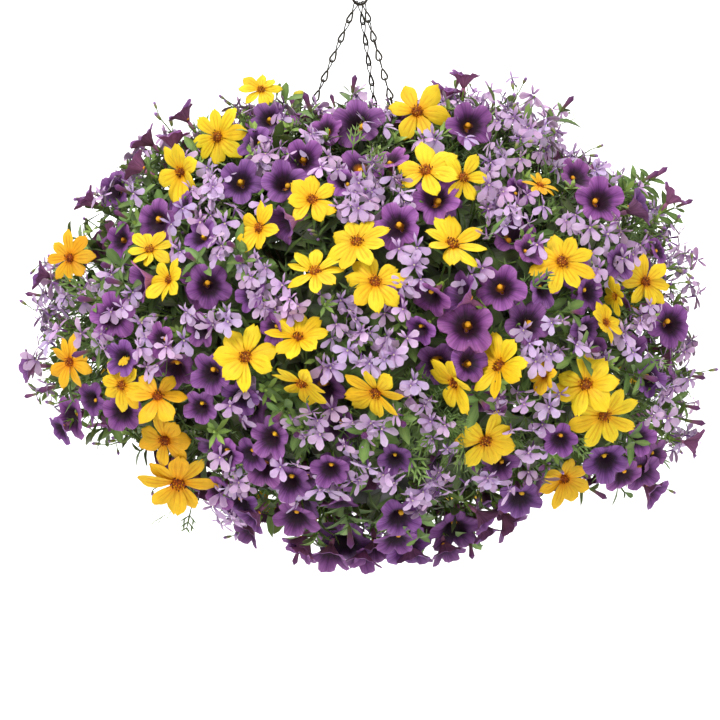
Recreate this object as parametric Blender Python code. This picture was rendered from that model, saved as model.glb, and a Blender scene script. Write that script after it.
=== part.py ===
"""A hanging basket planted with bidens, calibrachoa and lobelia, hung by three wire chains from one hook.

Metres, +Z up. The origin is the point inside the hook's crook that rests on a bracket. Heights on the
planting are measured from the middle of the ball of flowers, which lies BALL_DROP below the origin.
theta is the angle from straight up and phi the bearing: 0 is +Y (the back), 90 is +X, 180 is -Y.
"""

import math
import random

import bpy
from mathutils import Matrix, Vector

# Driving dimensions
BALL_DROP = 0.330
BALL_HALF_WIDTH = 0.262
BALL_TOP = 0.192
BALL_BOTTOM = 0.196
TOP_FULLNESS = 2.3
BOTTOM_FULLNESS = 2.0

HOOK_WIRE = 0.004
HOOK_INNER_RADIUS = 0.016
EYE_WIRE = 0.0022
EYE_INNER_RADIUS = 0.0046
EYE_REST_DEPTH = 0.0725

CHAIN_WIRE = 0.0018
CHAIN_HALF_GAP = 0.0022
CHAIN_LINKS = 10
LINK_SHOULDER = 0.0006
LINK_SINK = 0.0005
CHAIN_PLAY = 0.0006
CHAIN_BEARINGS = {"chain_left": 260.0, "chain_back": 20.0, "chain_right": 140.0}
CHAIN_SEATS = {"chain_left": -0.0028, "chain_back": 0.0, "chain_right": 0.0028}

RIM_HEIGHT = -0.018
BOWL_SIDES = 18
BOWL_OUTSIDE = [
    (0.0, -0.140),
    (0.056, -0.140),
    (0.086, -0.124),
    (0.106, -0.092),
    (0.115, -0.055),
    (0.1175, -0.026),
    (0.122, -0.024),
    (0.122, RIM_HEIGHT),
]
BOWL_INSIDE = [
    (0.1145, RIM_HEIGHT),
    (0.1125, -0.055),
    (0.1035, -0.0905),
    (0.0845, -0.1215),
    (0.055, -0.137),
    (0.0, -0.137),
]
LUG_BEARING_RADIUS = 0.118
LUG_RADIUS = 0.005
LUG_WIRE = 0.0024
LUG_CENTRE = RIM_HEIGHT + 0.0042

SOIL_TOP = -0.030
SOIL_PLAY = 0.0004
HOLE_DEPTH = 0.008
HOLE_RADIUS = 0.0021
STEM_RADIUS = 0.0013
STEM_PLAY = 0.00035
STEM_LANE = 0.0085
STEM_RISE = -0.012
LANE_START = 95.0
LANE_STEP = 11.0
STEM_SINK = 0.005

CORE_SHARE = 0.83
RIM_SHARE = 0.75
CAVITY_SHARE = 0.66
CORE_POT_CLEARANCE = 0.018
CORE_LEAST = 0.017
RIM_LEAST = 0.012
CORE_GAP = 0.002
CHAIN_SLOT = 0.0075
CORE_STEP = 25.0
ROOT_SINK = 0.008

PETAL_THICKNESS = 0.0008

# Rings of sprays: theta from, theta to, bearing of the first, where the stems stand, and what each spray is
BIDENS = "bidens"
CALIBRACHOA = "calibrachoa"
LOBELIA = "lobelia"
LETTERS = {"B": BIDENS, "C": CALIBRACHOA, "L": LOBELIA}
RINGS = [
    (10.0, 34.0, 80.0, 0.020, "LCB"),
    (34.0, 58.0, 0.0, 0.040, "BCLLBCBLC"),
    (58.0, 80.0, 0.0, 0.060, "BLCLCBBLCBCL"),
    (80.0, 102.0, 15.0, 0.078, "BLBCBLBCLCBC"),
    (102.0, 126.0, 0.0, 0.092, "CBLBLCBCL"),
    (126.0, 154.0, 27.0, 0.102, "LCCLCB"),
]
CAP_START = 157.0
CAP_STEM_BEARING = 62.0
CAP_STEM_THETA = 174.0

# Where the blooms stand in a cell, from -1 to 1 across it and from -1 to 1 down it
BLOOM_SEATS = {
    BIDENS: [(-1.0, -1.0), (0.4, -1.0), (-0.4, 1.0), (1.0, 1.0)],
    CALIBRACHOA: [(-1.0, -1.0), (0.0, -0.8), (1.0, -1.0), (-0.5, 1.0), (0.6, 0.9)],
    LOBELIA: [(-0.9, -0.9), (0.1, -0.8), (0.9, -0.6), (-0.5, 0.9), (0.7, 1.0)],
}
BLOOM_REACH = {BIDENS: 0.0255, CALIBRACHOA: 0.0190, LOBELIA: 0.0120}
BLOOM_HEIGHT = {BIDENS: (0.975, 1.0), CALIBRACHOA: (0.94, 0.985), LOBELIA: (0.94, 1.0)}
BLOOM_TILT = 12.0
LEAF_SEATS = {
    BIDENS: [(0.30, 0.0)],
    CALIBRACHOA: [(-0.40, 0.0)],
    LOBELIA: [(0.35, 0.0)],
}
LEAF_LEAN = 48.0

COLOURS = {
    BIDENS: ((0.93, 0.62, 0.02, 1.0), 0.55, 0.0),
    CALIBRACHOA: ((0.16, 0.04, 0.24, 1.0), 0.60, 0.0),
    LOBELIA: ((0.52, 0.38, 0.70, 1.0), 0.60, 0.0),
    "chain_wire": ((0.10, 0.09, 0.08, 1.0), 0.40, 1.0),
    "basket": ((0.05, 0.06, 0.05, 1.0), 0.50, 0.0),
    "potting_mix": ((0.07, 0.045, 0.03, 1.0), 0.95, 0.0),
}


def material(name):
    """The Principled material of that name, made once."""
    found = bpy.data.materials.get(name)
    if found:
        return found
    colour, roughness, metallic = COLOURS[name]
    made = bpy.data.materials.new(name)
    made.use_nodes = True
    shader = made.node_tree.nodes["Principled BSDF"]
    shader.inputs["Base Color"].default_value = colour
    shader.inputs["Roughness"].default_value = roughness
    shader.inputs["Metallic"].default_value = metallic
    made.diffuse_color = colour
    return made


def solid(name, shape, material_name, matrix=None):
    """An object from (vertices, faces)."""
    vertices, faces = shape
    mesh = bpy.data.meshes.new(name)
    mesh.from_pydata([tuple(v) for v in vertices], [], faces)
    if matrix is not None:
        mesh.transform(matrix)
    mesh.materials.append(material(material_name))
    made = bpy.data.objects.new(name, mesh)
    bpy.context.scene.collection.objects.link(made)
    return made


def combine(base, others, operation):
    """Applies one Boolean of base with all the others, which are then removed."""
    group = bpy.data.collections.new(base.name + "_repeats")
    bpy.context.scene.collection.children.link(group)
    for other in others:
        bpy.context.scene.collection.objects.unlink(other)
        group.objects.link(other)
    join = base.modifiers.new("join", "BOOLEAN")
    join.operation = operation
    join.operand_type = "COLLECTION"
    join.collection = group
    join.solver = "MANIFOLD"
    bpy.context.view_layer.update()
    graph = bpy.context.evaluated_depsgraph_get()
    joined = bpy.data.meshes.new_from_object(base.evaluated_get(graph))
    base.modifiers.clear()
    base.data = joined
    for other in others:
        bpy.data.objects.remove(other)
    bpy.data.collections.remove(group)
    return base


def spot(theta, phi, radius):
    """The point at that angle from straight up, bearing and distance from the middle of the ball."""
    t, p = math.radians(theta), math.radians(phi)
    across = radius * math.sin(t)
    return Vector((across * math.sin(p), across * math.cos(p), radius * math.cos(t) - BALL_DROP))


def outward(theta, phi):
    """The unit vector from the middle of the ball."""
    return (spot(theta, phi, 1.0) - spot(theta, phi, 0.0)).normalized()


def eastward(phi):
    """The unit vector along the bearing's growth."""
    p = math.radians(phi)
    return Vector((math.cos(p), -math.sin(p), 0.0))


def in_section(phi, across, height):
    """The point that far from the axis at that height from the ball's middle."""
    p = math.radians(phi)
    return Vector((across * math.sin(p), across * math.cos(p), height - BALL_DROP))


def ball_radius(theta):
    """How far the faces of the flowers lie from the middle of the ball."""
    t = math.radians(theta)
    above = theta <= 90.0
    power = TOP_FULLNESS if above else BOTTOM_FULLNESS
    tall = BALL_TOP if above else BALL_BOTTOM
    across = abs(math.sin(t)) / BALL_HALF_WIDTH
    up = abs(math.cos(t)) / tall
    return (across**power + up**power) ** (-1.0 / power)


def bowl_radius(theta):
    """How far the bowl's outside lies from the middle of the ball."""
    polar = [(math.degrees(math.atan2(r, z)), math.hypot(r, z)) for r, z in BOWL_OUTSIDE]
    polar.sort()
    if theta <= polar[0][0]:
        return polar[0][1]
    for (t0, r0), (t1, r1) in zip(polar, polar[1:]):
        if theta <= t1:
            return r0 + (r1 - r0) * (theta - t0) / max(t1 - t0, 1e-9)
    return polar[-1][1]


def cavity_radius(theta):
    """Where the foliage ends on its inner side."""
    return max(CAVITY_SHARE * ball_radius(theta), bowl_radius(theta) + CORE_POT_CLEARANCE)


def core_radius(theta):
    """How far out the dense foliage under the blooms comes in the middle of a patch."""
    return max(CORE_SHARE * ball_radius(theta), cavity_radius(theta) + CORE_LEAST)


def rim_radius(theta):
    """How far out the dense foliage comes at the border of a patch."""
    return max(RIM_SHARE * ball_radius(theta), cavity_radius(theta) + RIM_LEAST)


def turned(profile, sides):
    """A solid of revolution about the vertical axis. The profile starts and ends on the axis."""
    vertices, faces = [], []
    first = len(vertices)
    vertices.append(Vector((0.0, 0.0, profile[0][1] - BALL_DROP)))
    rings = []
    for across, height in profile[1:-1]:
        rings.append(len(vertices))
        for i in range(sides):
            vertices.append(in_section(-360.0 * i / sides, across, height))
    last = len(vertices)
    vertices.append(Vector((0.0, 0.0, profile[-1][1] - BALL_DROP)))
    for i in range(sides):
        j = (i + 1) % sides
        faces.append((first, rings[0] + j, rings[0] + i))
        for low, high in zip(rings, rings[1:]):
            faces.append((low + i, low + j, high + j, high + i))
        faces.append((last, rings[-1] + i, rings[-1] + j))
    return vertices, faces


def tube(points, radius, sides, binormal, closed=False):
    """A tube along points that lie in one plane, whose normal is the binormal."""
    vertices, faces = [], []
    count = len(points)
    for k, point in enumerate(points):
        before = points[k - 1] if closed or k > 0 else point
        after = points[(k + 1) % count] if closed or k < count - 1 else point
        tangent = (after - before).normalized()
        normal = binormal.cross(tangent).normalized()
        for s in range(sides):
            turn = math.tau * s / sides
            vertices.append(point + radius * (math.cos(turn) * normal + math.sin(turn) * binormal))
    for k in range(count if closed else count - 1):
        here, there = k * sides, ((k + 1) % count) * sides
        for s in range(sides):
            t = (s + 1) % sides
            faces.append((here + s, here + t, there + t, there + s))
    if not closed:
        end = (count - 1) * sides
        faces.append(tuple(reversed(range(sides))))
        faces.append(tuple(end + s for s in range(sides)))
    return vertices, faces


def ring_points(centre, radius, axis_a, axis_b, count):
    """Points round a circle in the plane of two axes."""
    turns = [math.tau * i / count for i in range(count)]
    return [centre + radius * (math.cos(t) * axis_a + math.sin(t) * axis_b) for t in turns]


def hanger_hook():
    """A wire crook over the bracket, running down to a closed eye that carries the chains."""
    side, up, through = Vector((1, 0, 0)), Vector((0, 0, 1)), Vector((0, 1, 0))
    bend = HOOK_INNER_RADIUS + HOOK_WIRE / 2
    centre = Vector((0.0, 0.0, -HOOK_INNER_RADIUS))
    points = []
    for step in range(11):
        turn = math.radians(-35.0 + 24.0 * step)
        points.append(centre + bend * (math.cos(turn) * side + math.sin(turn) * up))
    eye_centre = Vector((0.0, 0.0, EYE_INNER_RADIUS - EYE_REST_DEPTH))
    eye_radius = EYE_INNER_RADIUS + EYE_WIRE / 2
    neck = eye_centre.z + eye_radius
    points.append(Vector((-0.0065, 0.0, centre.z - bend - 0.0055)))
    points.append(Vector((-0.0015, 0.0, centre.z - bend - 0.0135)))
    points.append(Vector((0.0, 0.0, neck + 0.006)))
    points.append(Vector((0.0, 0.0, neck)))
    hook = solid("hanger_hook", tube(points, HOOK_WIRE / 2, 5, through), "chain_wire")
    loop = ring_points(eye_centre, eye_radius, side, up, 12)
    eye = solid("eye", tube(loop, EYE_WIRE / 2, 5, through, closed=True), "chain_wire")
    return combine(hook, [eye], "UNION")


def lug_centre(bearing):
    """The middle of the wire ring on the basket's rim that holds a chain."""
    return in_section(bearing, LUG_BEARING_RADIUS, LUG_CENTRE)


def link(start, along, plane_normal, inner_length):
    """One closed link, pointed at both ends, from its inner top downwards, its wire with an edge inwards."""
    wide = plane_normal.cross(along).normalized()
    half = CHAIN_HALF_GAP + CHAIN_WIRE / 2
    outline = [
        (0.0, -CHAIN_WIRE / 2),
        (half, LINK_SHOULDER),
        (half, inner_length - LINK_SHOULDER),
        (0.0, inner_length + CHAIN_WIRE / 2),
        (-half, inner_length - LINK_SHOULDER),
        (-half, LINK_SHOULDER),
    ]
    points = [start + across * wide + down * along for across, down in outline]
    return tube(points, CHAIN_WIRE / 2, 3, -plane_normal, closed=True)


def chain(name):
    """Links hung on the eye, each a quarter turn from the last, down to the basket's lug."""
    bearing = CHAIN_BEARINGS[name]
    sway = CHAIN_SEATS[name] / EYE_INNER_RADIUS
    top = Vector((math.sin(sway), 0.0, -math.cos(sway))) * EYE_INNER_RADIUS
    top.z += EYE_INNER_RADIUS - EYE_REST_DEPTH
    bottom = lug_centre(bearing) + Vector((0.0, 0.0, LUG_RADIUS - LUG_WIRE / 2))
    along = (bottom - top).normalized()
    span = (bottom - top).length + 2 * CHAIN_PLAY
    inner = (span - (CHAIN_LINKS - 1) * LINK_SINK) / CHAIN_LINKS
    first_normal = Vector((1.0, 0.0, 0.0))
    first_normal = (first_normal - first_normal.dot(along) * along).normalized()
    last_normal = eastward(bearing)
    last_normal = (last_normal - last_normal.dot(along) * along).normalized()
    wanted = math.atan2(first_normal.cross(last_normal).dot(along), first_normal.dot(last_normal))
    plain = math.pi / 2 * (CHAIN_LINKS - 1)
    extra = (wanted - plain + math.pi / 2) % math.pi - math.pi / 2
    step = (plain + extra) / (CHAIN_LINKS - 1)
    links = []
    for i in range(CHAIN_LINKS):
        normal = Matrix.Rotation(step * i, 3, along) @ first_normal
        start = top + (i * (inner + LINK_SINK) - CHAIN_PLAY) * along
        shape = link(start, along, normal, inner)
        links.append(solid(name if i == 0 else "link", shape, "chain_wire"))
    return combine(links[0], links[1:], "UNION")


def basket():
    """The bowl, with three wire lugs standing on its rim."""
    bowl = solid("basket", turned(BOWL_OUTSIDE + BOWL_INSIDE, BOWL_SIDES), "basket")
    lugs = []
    for bearing in CHAIN_BEARINGS.values():
        east, up = eastward(bearing), Vector((0, 0, 1))
        loop = ring_points(lug_centre(bearing), LUG_RADIUS, east, up, 8)
        shape = tube(loop, LUG_WIRE / 2, 4, east.cross(up), closed=True)
        lugs.append(solid("lug", shape, "basket"))
    return combine(bowl, lugs, "UNION")


def potting_mix(feet):
    """The fill of the bowl, with a plain hole for each stem."""
    profile = [(0.0, BOWL_INSIDE[-1][1] + SOIL_PLAY)]
    for across, height in reversed(BOWL_INSIDE[1:-1]):
        profile.append((across - SOIL_PLAY, height + SOIL_PLAY))
    profile.append((BOWL_INSIDE[1][0] + SOIL_PLAY, SOIL_TOP))
    profile.append((0.0, SOIL_TOP))
    mix = solid("potting_mix", turned(profile, BOWL_SIDES), "potting_mix")
    holes = []
    for bearing, across in feet:
        floor = in_section(bearing, across, SOIL_TOP - HOLE_DEPTH)
        mouth = in_section(bearing, across, SOIL_TOP + HOLE_DEPTH)
        holes.append(solid("hole", tube([floor, mouth], HOLE_RADIUS, 3, eastward(bearing)), "potting_mix"))
    return combine(mix, holes, "DIFFERENCE")


def bloom(outline, face_height, collar_height, collar_radius, depth):
    """A flower on a three-sided stalk. The outline goes round counterclockwise, seen from its face."""
    count = len(outline)
    vertices = [Vector(p) for p in outline]
    face = len(vertices)
    vertices.append(Vector((0.0, 0.0, face_height)))
    turns = [math.tau * (s + 0.5) / 3 for s in range(3)]
    for height in (collar_height, -depth):
        for turn in turns:
            vertices.append(Vector((collar_radius * math.cos(turn), collar_radius * math.sin(turn), height)))
    collar, foot = face + 1, face + 4
    start = math.atan2(outline[0][1], outline[0][0])
    owners = []
    for x, y, _ in outline:
        swept = (math.atan2(y, x) - start + 1e-6) % math.tau
        owners.append(int(swept / (math.tau / 3)) % 3)
    shift = int(((start % math.tau) / (math.tau / 3))) % 3
    faces = []
    for i in range(count):
        j = (i + 1) % count
        here, there = (owners[i] + shift) % 3, (owners[j] + shift) % 3
        faces.append((face, i, j))
        faces.append((j, i, collar + here))
        if here != there:
            faces.append((j, collar + here, collar + there))
    for s in range(3):
        t = (s + 1) % 3
        faces.append((collar + t, collar + s, foot + s, foot + t))
    faces.append((foot + 2, foot + 1, foot))
    return vertices, faces


def lobes(angles, tip_radius, notch_radius, spread, tip_height, notch_height):
    """An outline of lobes: two shoulders or one tip at each lobe's end, and a notch after it."""
    outline = []
    for k, angle in enumerate(angles):
        after = angles[(k + 1) % len(angles)]
        between = angle + ((after - angle) % 360.0) / 2
        ends = [(angle + turn, tip_radius, tip_height) for turn in sorted({-spread, spread})]
        for turn, radius, height in ends + [(between, notch_radius, notch_height)]:
            t = math.radians(turn)
            outline.append((radius * math.cos(t), radius * math.sin(t), height))
    return outline


def bidens_bloom(depth):
    """Broad yellow rays round a low disc."""
    angles = [72.0 * k for k in range(5)]
    outline = lobes(angles, 0.0245, 0.0105, 18.0, 0.0025, 0.0)
    return bloom(outline, 0.0045, -0.006, 0.0013, depth)


def calibrachoa_bloom(depth):
    """A funnel with five blunt lobes and a deep throat."""
    angles = [72.0 * k for k in range(5)]
    outline = lobes(angles, 0.0190, 0.0150, 0.0, 0.0, 0.0)
    return bloom(outline, -0.011, -0.019, 0.0024, depth)


def lobelia_bloom(depth):
    """Three broad lower lobes and two narrow upper ones on a thin tube."""
    outline = []
    tips = [(210.0, 0.0110), (270.0, 0.0115), (330.0, 0.0110), (62.0, 0.0085), (118.0, 0.0085)]
    notches = [(240.0, 0.0045), (300.0, 0.0045), (16.0, 0.0028), (90.0, 0.0028), (164.0, 0.0028)]
    for (turn, radius), (gap_turn, gap_radius) in zip(tips, notches):
        for angle, reach in ((turn, radius), (gap_turn, gap_radius)):
            t = math.radians(angle)
            outline.append((reach * math.cos(t), reach * math.sin(t), 0.0))
    return bloom(outline, -0.001, -0.005, 0.0009, depth)


BLOOMS = {BIDENS: bidens_bloom, CALIBRACHOA: calibrachoa_bloom, LOBELIA: lobelia_bloom}

# Leaves as stations along the rib: distance, half width, and droop
OVAL_LEAF = [(-0.008, 0.0, 0.0), (0.014, 0.0058, 0.0015), (0.031, 0.0, -0.002)]
CUT_LEAF = [
    (-0.008, 0.0, 0.0),
    (0.010, 0.0110, 0.001),
    (0.015, 0.0022, 0.002),
    (0.024, 0.0090, 0.001),
    (0.036, 0.0, -0.003),
]


def blade(stations):
    """A thin leaf along +X with its upper face to +Z, split alike on both faces."""
    rows, upper = [], []
    for along, half, lift in stations:
        sides = [0.0] if half == 0.0 else [half, -half]
        rows.append(range(len(upper), len(upper) + len(sides)))
        upper += [Vector((along, side, lift + PETAL_THICKNESS / 2)) for side in sides]
    count = len(upper)
    lower = [v - Vector((0.0, 0.0, PETAL_THICKNESS)) for v in upper]
    faces = []
    for row, following in zip(rows, rows[1:]):
        if len(row) == 1:
            tops = [(row[0], following[1], following[0])]
        elif len(following) == 1:
            tops = [(row[0], row[1], following[0])]
        else:
            tops = [(row[0], row[1], following[1]), (row[0], following[1], following[0])]
        for a, b, c in tops:
            faces.append((a, b, c))
            faces.append((c + count, b + count, a + count))
    edge = [row[0] for row in rows] + [row[-1] for row in reversed(rows[1:-1])]
    for k, a in enumerate(edge):
        b = edge[(k + 1) % len(edge)]
        faces.append((a, b, b + count, a + count))
    return upper + lower, faces


def frame_at(point, facing, sideways):
    """A matrix that puts local +Z along facing and local +X as near sideways as it can be."""
    z = facing.normalized()
    x = (sideways - sideways.dot(z) * z).normalized()
    y = z.cross(x)
    rotation = Matrix((x, y, z)).transposed().to_4x4()
    return Matrix.Translation(point) @ rotation


class Cell:
    """A patch of the ball that one spray fills."""

    def __init__(self, theta_from, theta_to, phi, half_phi):
        self.theta_from = theta_from
        self.theta_to = theta_to
        self.theta = (theta_from + theta_to) / 2
        self.phi = phi
        self.half_phi = half_phi
        self.gap = CHAIN_SLOT if theta_from < 20.0 else CORE_GAP

    def half_turn(self, theta, margin):
        """Half the cell's width in degrees at theta, less a margin in metres."""
        across = core_radius(theta) * math.sin(math.radians(theta))
        return self.half_phi - math.degrees(math.asin(min((margin + self.gap) / across, 1.0)))

    def outline(self):
        """The patch's border as (theta, phi), counterclockwise seen from outside."""
        top = self.theta_from + math.degrees(CORE_GAP / core_radius(self.theta_from))
        low = self.theta_to - math.degrees(CORE_GAP / core_radius(self.theta_to))
        parts = max(2, math.ceil(2 * self.half_phi / CORE_STEP))
        border = []
        for theta, way in ((top, 1), (low, -1)):
            half = self.half_turn(theta, 0.0)
            for k in range(parts + 1):
                border.append((theta, self.phi + way * half * (2.0 * k / parts - 1.0)))
        return border

    def seat(self, across, down, reach):
        """The (theta, phi) of a bloom that stays in the patch with that reach."""
        margin = math.degrees((reach + CORE_GAP) / core_radius(self.theta))
        theta = self.theta + down * ((self.theta_to - self.theta_from) / 2 - margin)
        return theta, self.phi + across * max(self.half_turn(theta, reach), 0.0)


def core(border, middle):
    """The dense foliage of a patch, a mound from the cavity to just under the blooms."""
    places = border + [middle]
    vertices = [spot(t, p, rim_radius(t)) for t, p in border]
    vertices.append(spot(*middle, core_radius(middle[0])))
    vertices += [spot(t, p, cavity_radius(t)) for t, p in places]
    count, hub, under = len(border), len(border), 2 * len(border) + 1
    faces = []
    for i in range(count):
        j = (i + 1) % count
        below_i, below_j = count + 1 + i, count + 1 + j
        faces.append((hub, i, j))
        faces.append((under, below_j, below_i))
        faces.append((j, i, below_i, below_j))
    return vertices, faces


def stem_points(foot_radius, phi, theta_end):
    """From the hole in the potting mix to the foliage, over the rim and down beside the bowl if need be."""
    points = [in_section(phi, foot_radius, SOIL_TOP - HOLE_DEPTH + STEM_PLAY)]
    points.append(in_section(phi, foot_radius, STEM_RISE))
    if theta_end > 85.0:
        theta = LANE_START
        while theta < theta_end - LANE_STEP / 2:
            points.append(spot(theta, phi, bowl_radius(theta) + STEM_LANE))
            theta += LANE_STEP
    points.append(spot(theta_end, phi, cavity_radius(theta_end) + STEM_SINK))
    return points


def upright_side(theta, phi):
    """The way up along the ball's surface."""
    return spot(theta - 1.0, phi, ball_radius(theta)) - spot(theta, phi, ball_radius(theta))


def bloom_piece(kind, theta, phi, draw):
    """One bloom standing out of the foliage, turned a little at random."""
    low, high = BLOOM_HEIGHT[kind]
    face = draw.uniform(low, high) * ball_radius(theta)
    facing = outward(theta, phi)
    lean = Matrix.Rotation(math.radians(draw.uniform(0.0, BLOOM_TILT)), 3, eastward(phi))
    swing = Matrix.Rotation(draw.uniform(0.0, math.tau), 3, facing)
    depth = face - rim_radius(theta) + ROOT_SINK
    up = upright_side(theta, phi)
    sideways = up.cross(facing)
    if kind != LOBELIA:
        sideways = Matrix.Rotation(draw.uniform(0.0, math.tau), 3, facing) @ sideways
    matrix = frame_at(spot(theta, phi, face), swing @ lean @ swing.inverted() @ facing, sideways)
    return solid("bloom", BLOOMS[kind](max(depth, 0.022)), kind, matrix)


def leaf_piece(kind, theta, phi, across):
    """One leaf leaning out of the foliage to one side."""
    way = math.copysign(1.0, across)
    root = core_radius(theta) + abs(across) * (rim_radius(theta) - core_radius(theta))
    lean = math.radians(LEAF_LEAN)
    out, east = outward(theta, phi), way * eastward(phi)
    along = math.cos(lean) * out + math.sin(lean) * east
    upper = math.sin(lean) * out - math.cos(lean) * east
    matrix = frame_at(spot(theta, phi, root), upper, along)
    return solid("leaf", blade(CUT_LEAF if kind == BIDENS else OVAL_LEAF), kind, matrix)


def spray(name, kind, cell, foot_radius, draw):
    """A stem from the potting mix, its foliage, and the blooms and leaves that stand out of it."""
    base = solid(name, core(cell.outline(), (cell.theta, cell.phi)), kind)
    points = stem_points(foot_radius, cell.phi, cell.theta)
    pieces = [solid("stem", tube(points, STEM_RADIUS, 3, eastward(cell.phi)), kind)]
    for across, down in BLOOM_SEATS[kind]:
        theta, phi = cell.seat(across, down, BLOOM_REACH[kind])
        pieces.append(bloom_piece(kind, theta, phi, draw))
    for across, down in LEAF_SEATS[kind]:
        theta = cell.theta + down * (cell.theta_to - cell.theta_from)
        phi = cell.phi + across * cell.half_turn(theta, 0.0)
        pieces.append(leaf_piece(kind, theta, phi, across))
    return combine(base, pieces, "UNION")


def bottom_spray(name, kind, foot_radius, draw):
    """The spray that trails under the bowl and closes the ball's underside."""
    border = [(CAP_START, 45.0 * k) for k in range(8)]
    base = solid(name, core(border, (180.0, 0.0)), kind)
    points = stem_points(foot_radius, CAP_STEM_BEARING, CAP_STEM_THETA)
    pieces = [solid("stem", tube(points, STEM_RADIUS, 3, eastward(CAP_STEM_BEARING)), kind)]
    pieces.append(bloom_piece(kind, 179.9, 0.0, draw))
    for k in range(5):
        pieces.append(bloom_piece(kind, 167.5, 72.0 * k, draw))
    return combine(base, pieces, "UNION")


def build():
    """Every piece of the hanging basket."""
    for old in list(bpy.data.objects):
        bpy.data.objects.remove(old)
    hanger_hook()
    for name in CHAIN_BEARINGS:
        chain(name)
    basket()
    draw = random.Random(7)
    tally = dict.fromkeys(LETTERS.values(), 0)
    feet = []
    for theta_from, theta_to, start, foot_radius, letters in RINGS:
        step = 360.0 / len(letters)
        for k, letter in enumerate(letters):
            kind = LETTERS[letter]
            tally[kind] += 1
            cell = Cell(theta_from, theta_to, start + step * k, step / 2)
            spray(f"{kind}_spray_{tally[kind]:02d}", kind, cell, foot_radius, draw)
            feet.append((cell.phi, foot_radius))
    tally[CALIBRACHOA] += 1
    last_foot = RINGS[-1][3]
    bottom_spray(f"{CALIBRACHOA}_spray_{tally[CALIBRACHOA]:02d}", CALIBRACHOA, last_foot, draw)
    feet.append((CAP_STEM_BEARING, last_foot))
    potting_mix(feet)


build()
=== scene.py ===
"""A mixed hanging basket of bidens, calibrachoa and lobelia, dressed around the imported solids.

Metres, +Z up. The origin is the point inside the hook's crook that rests on a bracket. The ball of
flowers is centred BALL_DROP below it, and -Y is the side that faces the camera.
"""

import math

import bpy
import numpy as np
from mathutils import Matrix


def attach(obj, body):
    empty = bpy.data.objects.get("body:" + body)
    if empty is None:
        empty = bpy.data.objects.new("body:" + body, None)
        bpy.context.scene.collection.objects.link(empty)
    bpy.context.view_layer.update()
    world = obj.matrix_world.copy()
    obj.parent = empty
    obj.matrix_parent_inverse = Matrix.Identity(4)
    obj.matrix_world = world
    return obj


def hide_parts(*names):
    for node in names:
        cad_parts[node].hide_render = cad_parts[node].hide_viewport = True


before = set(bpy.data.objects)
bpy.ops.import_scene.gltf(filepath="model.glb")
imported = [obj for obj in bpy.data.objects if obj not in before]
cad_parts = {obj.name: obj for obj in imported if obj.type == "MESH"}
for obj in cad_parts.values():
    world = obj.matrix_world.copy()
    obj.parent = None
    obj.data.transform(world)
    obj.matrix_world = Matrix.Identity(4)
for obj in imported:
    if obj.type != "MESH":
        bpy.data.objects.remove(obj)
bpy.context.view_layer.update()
NODES = sorted(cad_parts)

# The ball of flowers
BALL_DROP = 0.330
BALL_DEPTH = 0.256
BALL_POWER = 2.2
BALL_ASIDE = 0.0024
CENTRE = np.array([BALL_ASIDE, 0.0, -BALL_DROP])

# Its outline from the front: its reach in millimetres every ten degrees round from the right
OUTLINE = (
    259, 253, 259, 240, 211, 218, 198, 195, 176, 173, 170, 187, 198, 208, 224, 230, 237, 256,
    256, 266, 246, 202, 208, 189, 189, 179, 186, 176, 189, 186, 186, 202, 202, 262, 275, 266,
)
OUTLINE_ANGLES = 10.0 * np.arange(len(OUTLINE))
OUTLINE_REACH = np.array(OUTLINE) / 1000.0

# Camera: the width of one pixel at the hook's depth, and where the lens stands
FRAME_PIXELS = 720
PIXEL = 0.0008
EYE = np.array([0.0, -2.6, -0.358])
SENSOR = 36.0

UP, TOWARDS = np.array([0.0, 0.0, 1.0]), np.array([0.0, -1.0, 0.0])
rng = np.random.default_rng(11)


def unit(v):
    """Vectors scaled to length one."""
    v = np.asarray(v, float)
    return v / np.maximum(np.linalg.norm(v, axis=-1, keepdims=True), 1e-12)


def srgb(r, g, b):
    """A screen colour of 0 to 255 as linear light."""
    c = np.array([r, g, b], float) / 255.0
    return np.where(c <= 0.04045, c / 12.92, ((c + 0.055) / 1.055) ** 2.4)


def outline(x, z):
    """The outline's reach towards x and z, as seen from the front."""
    turn = np.degrees(np.arctan2(z, x)) % 360.0
    return np.interp(turn, OUTLINE_ANGLES, OUTLINE_REACH, period=360.0)


def reach(directions):
    """How far the ball of flowers reaches along each direction from its centre."""
    d = unit(directions)
    flat = np.hypot(d[..., 0], d[..., 2]) / outline(d[..., 0], d[..., 2])
    return (flat**BALL_POWER + (np.abs(d[..., 1]) / BALL_DEPTH) ** BALL_POWER) ** (-1 / BALL_POWER)


def normals(points):
    """The ball's outward normal where the ray through each point leaves it."""
    d = unit(points - CENTRE)
    step = 0.04
    a = unit(np.cross(d, np.array([0.13, 0.31, 0.94])))
    b = np.cross(d, a)
    here = d * reach(d)[..., None]
    along_a, along_b = unit(d + step * a), unit(d + step * b)
    da = along_a * reach(along_a)[..., None] - here
    db = along_b * reach(along_b)[..., None] - here
    n = unit(np.cross(da, db))
    return np.where((n * d).sum(-1, keepdims=True) < 0, -n, n)


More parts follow.
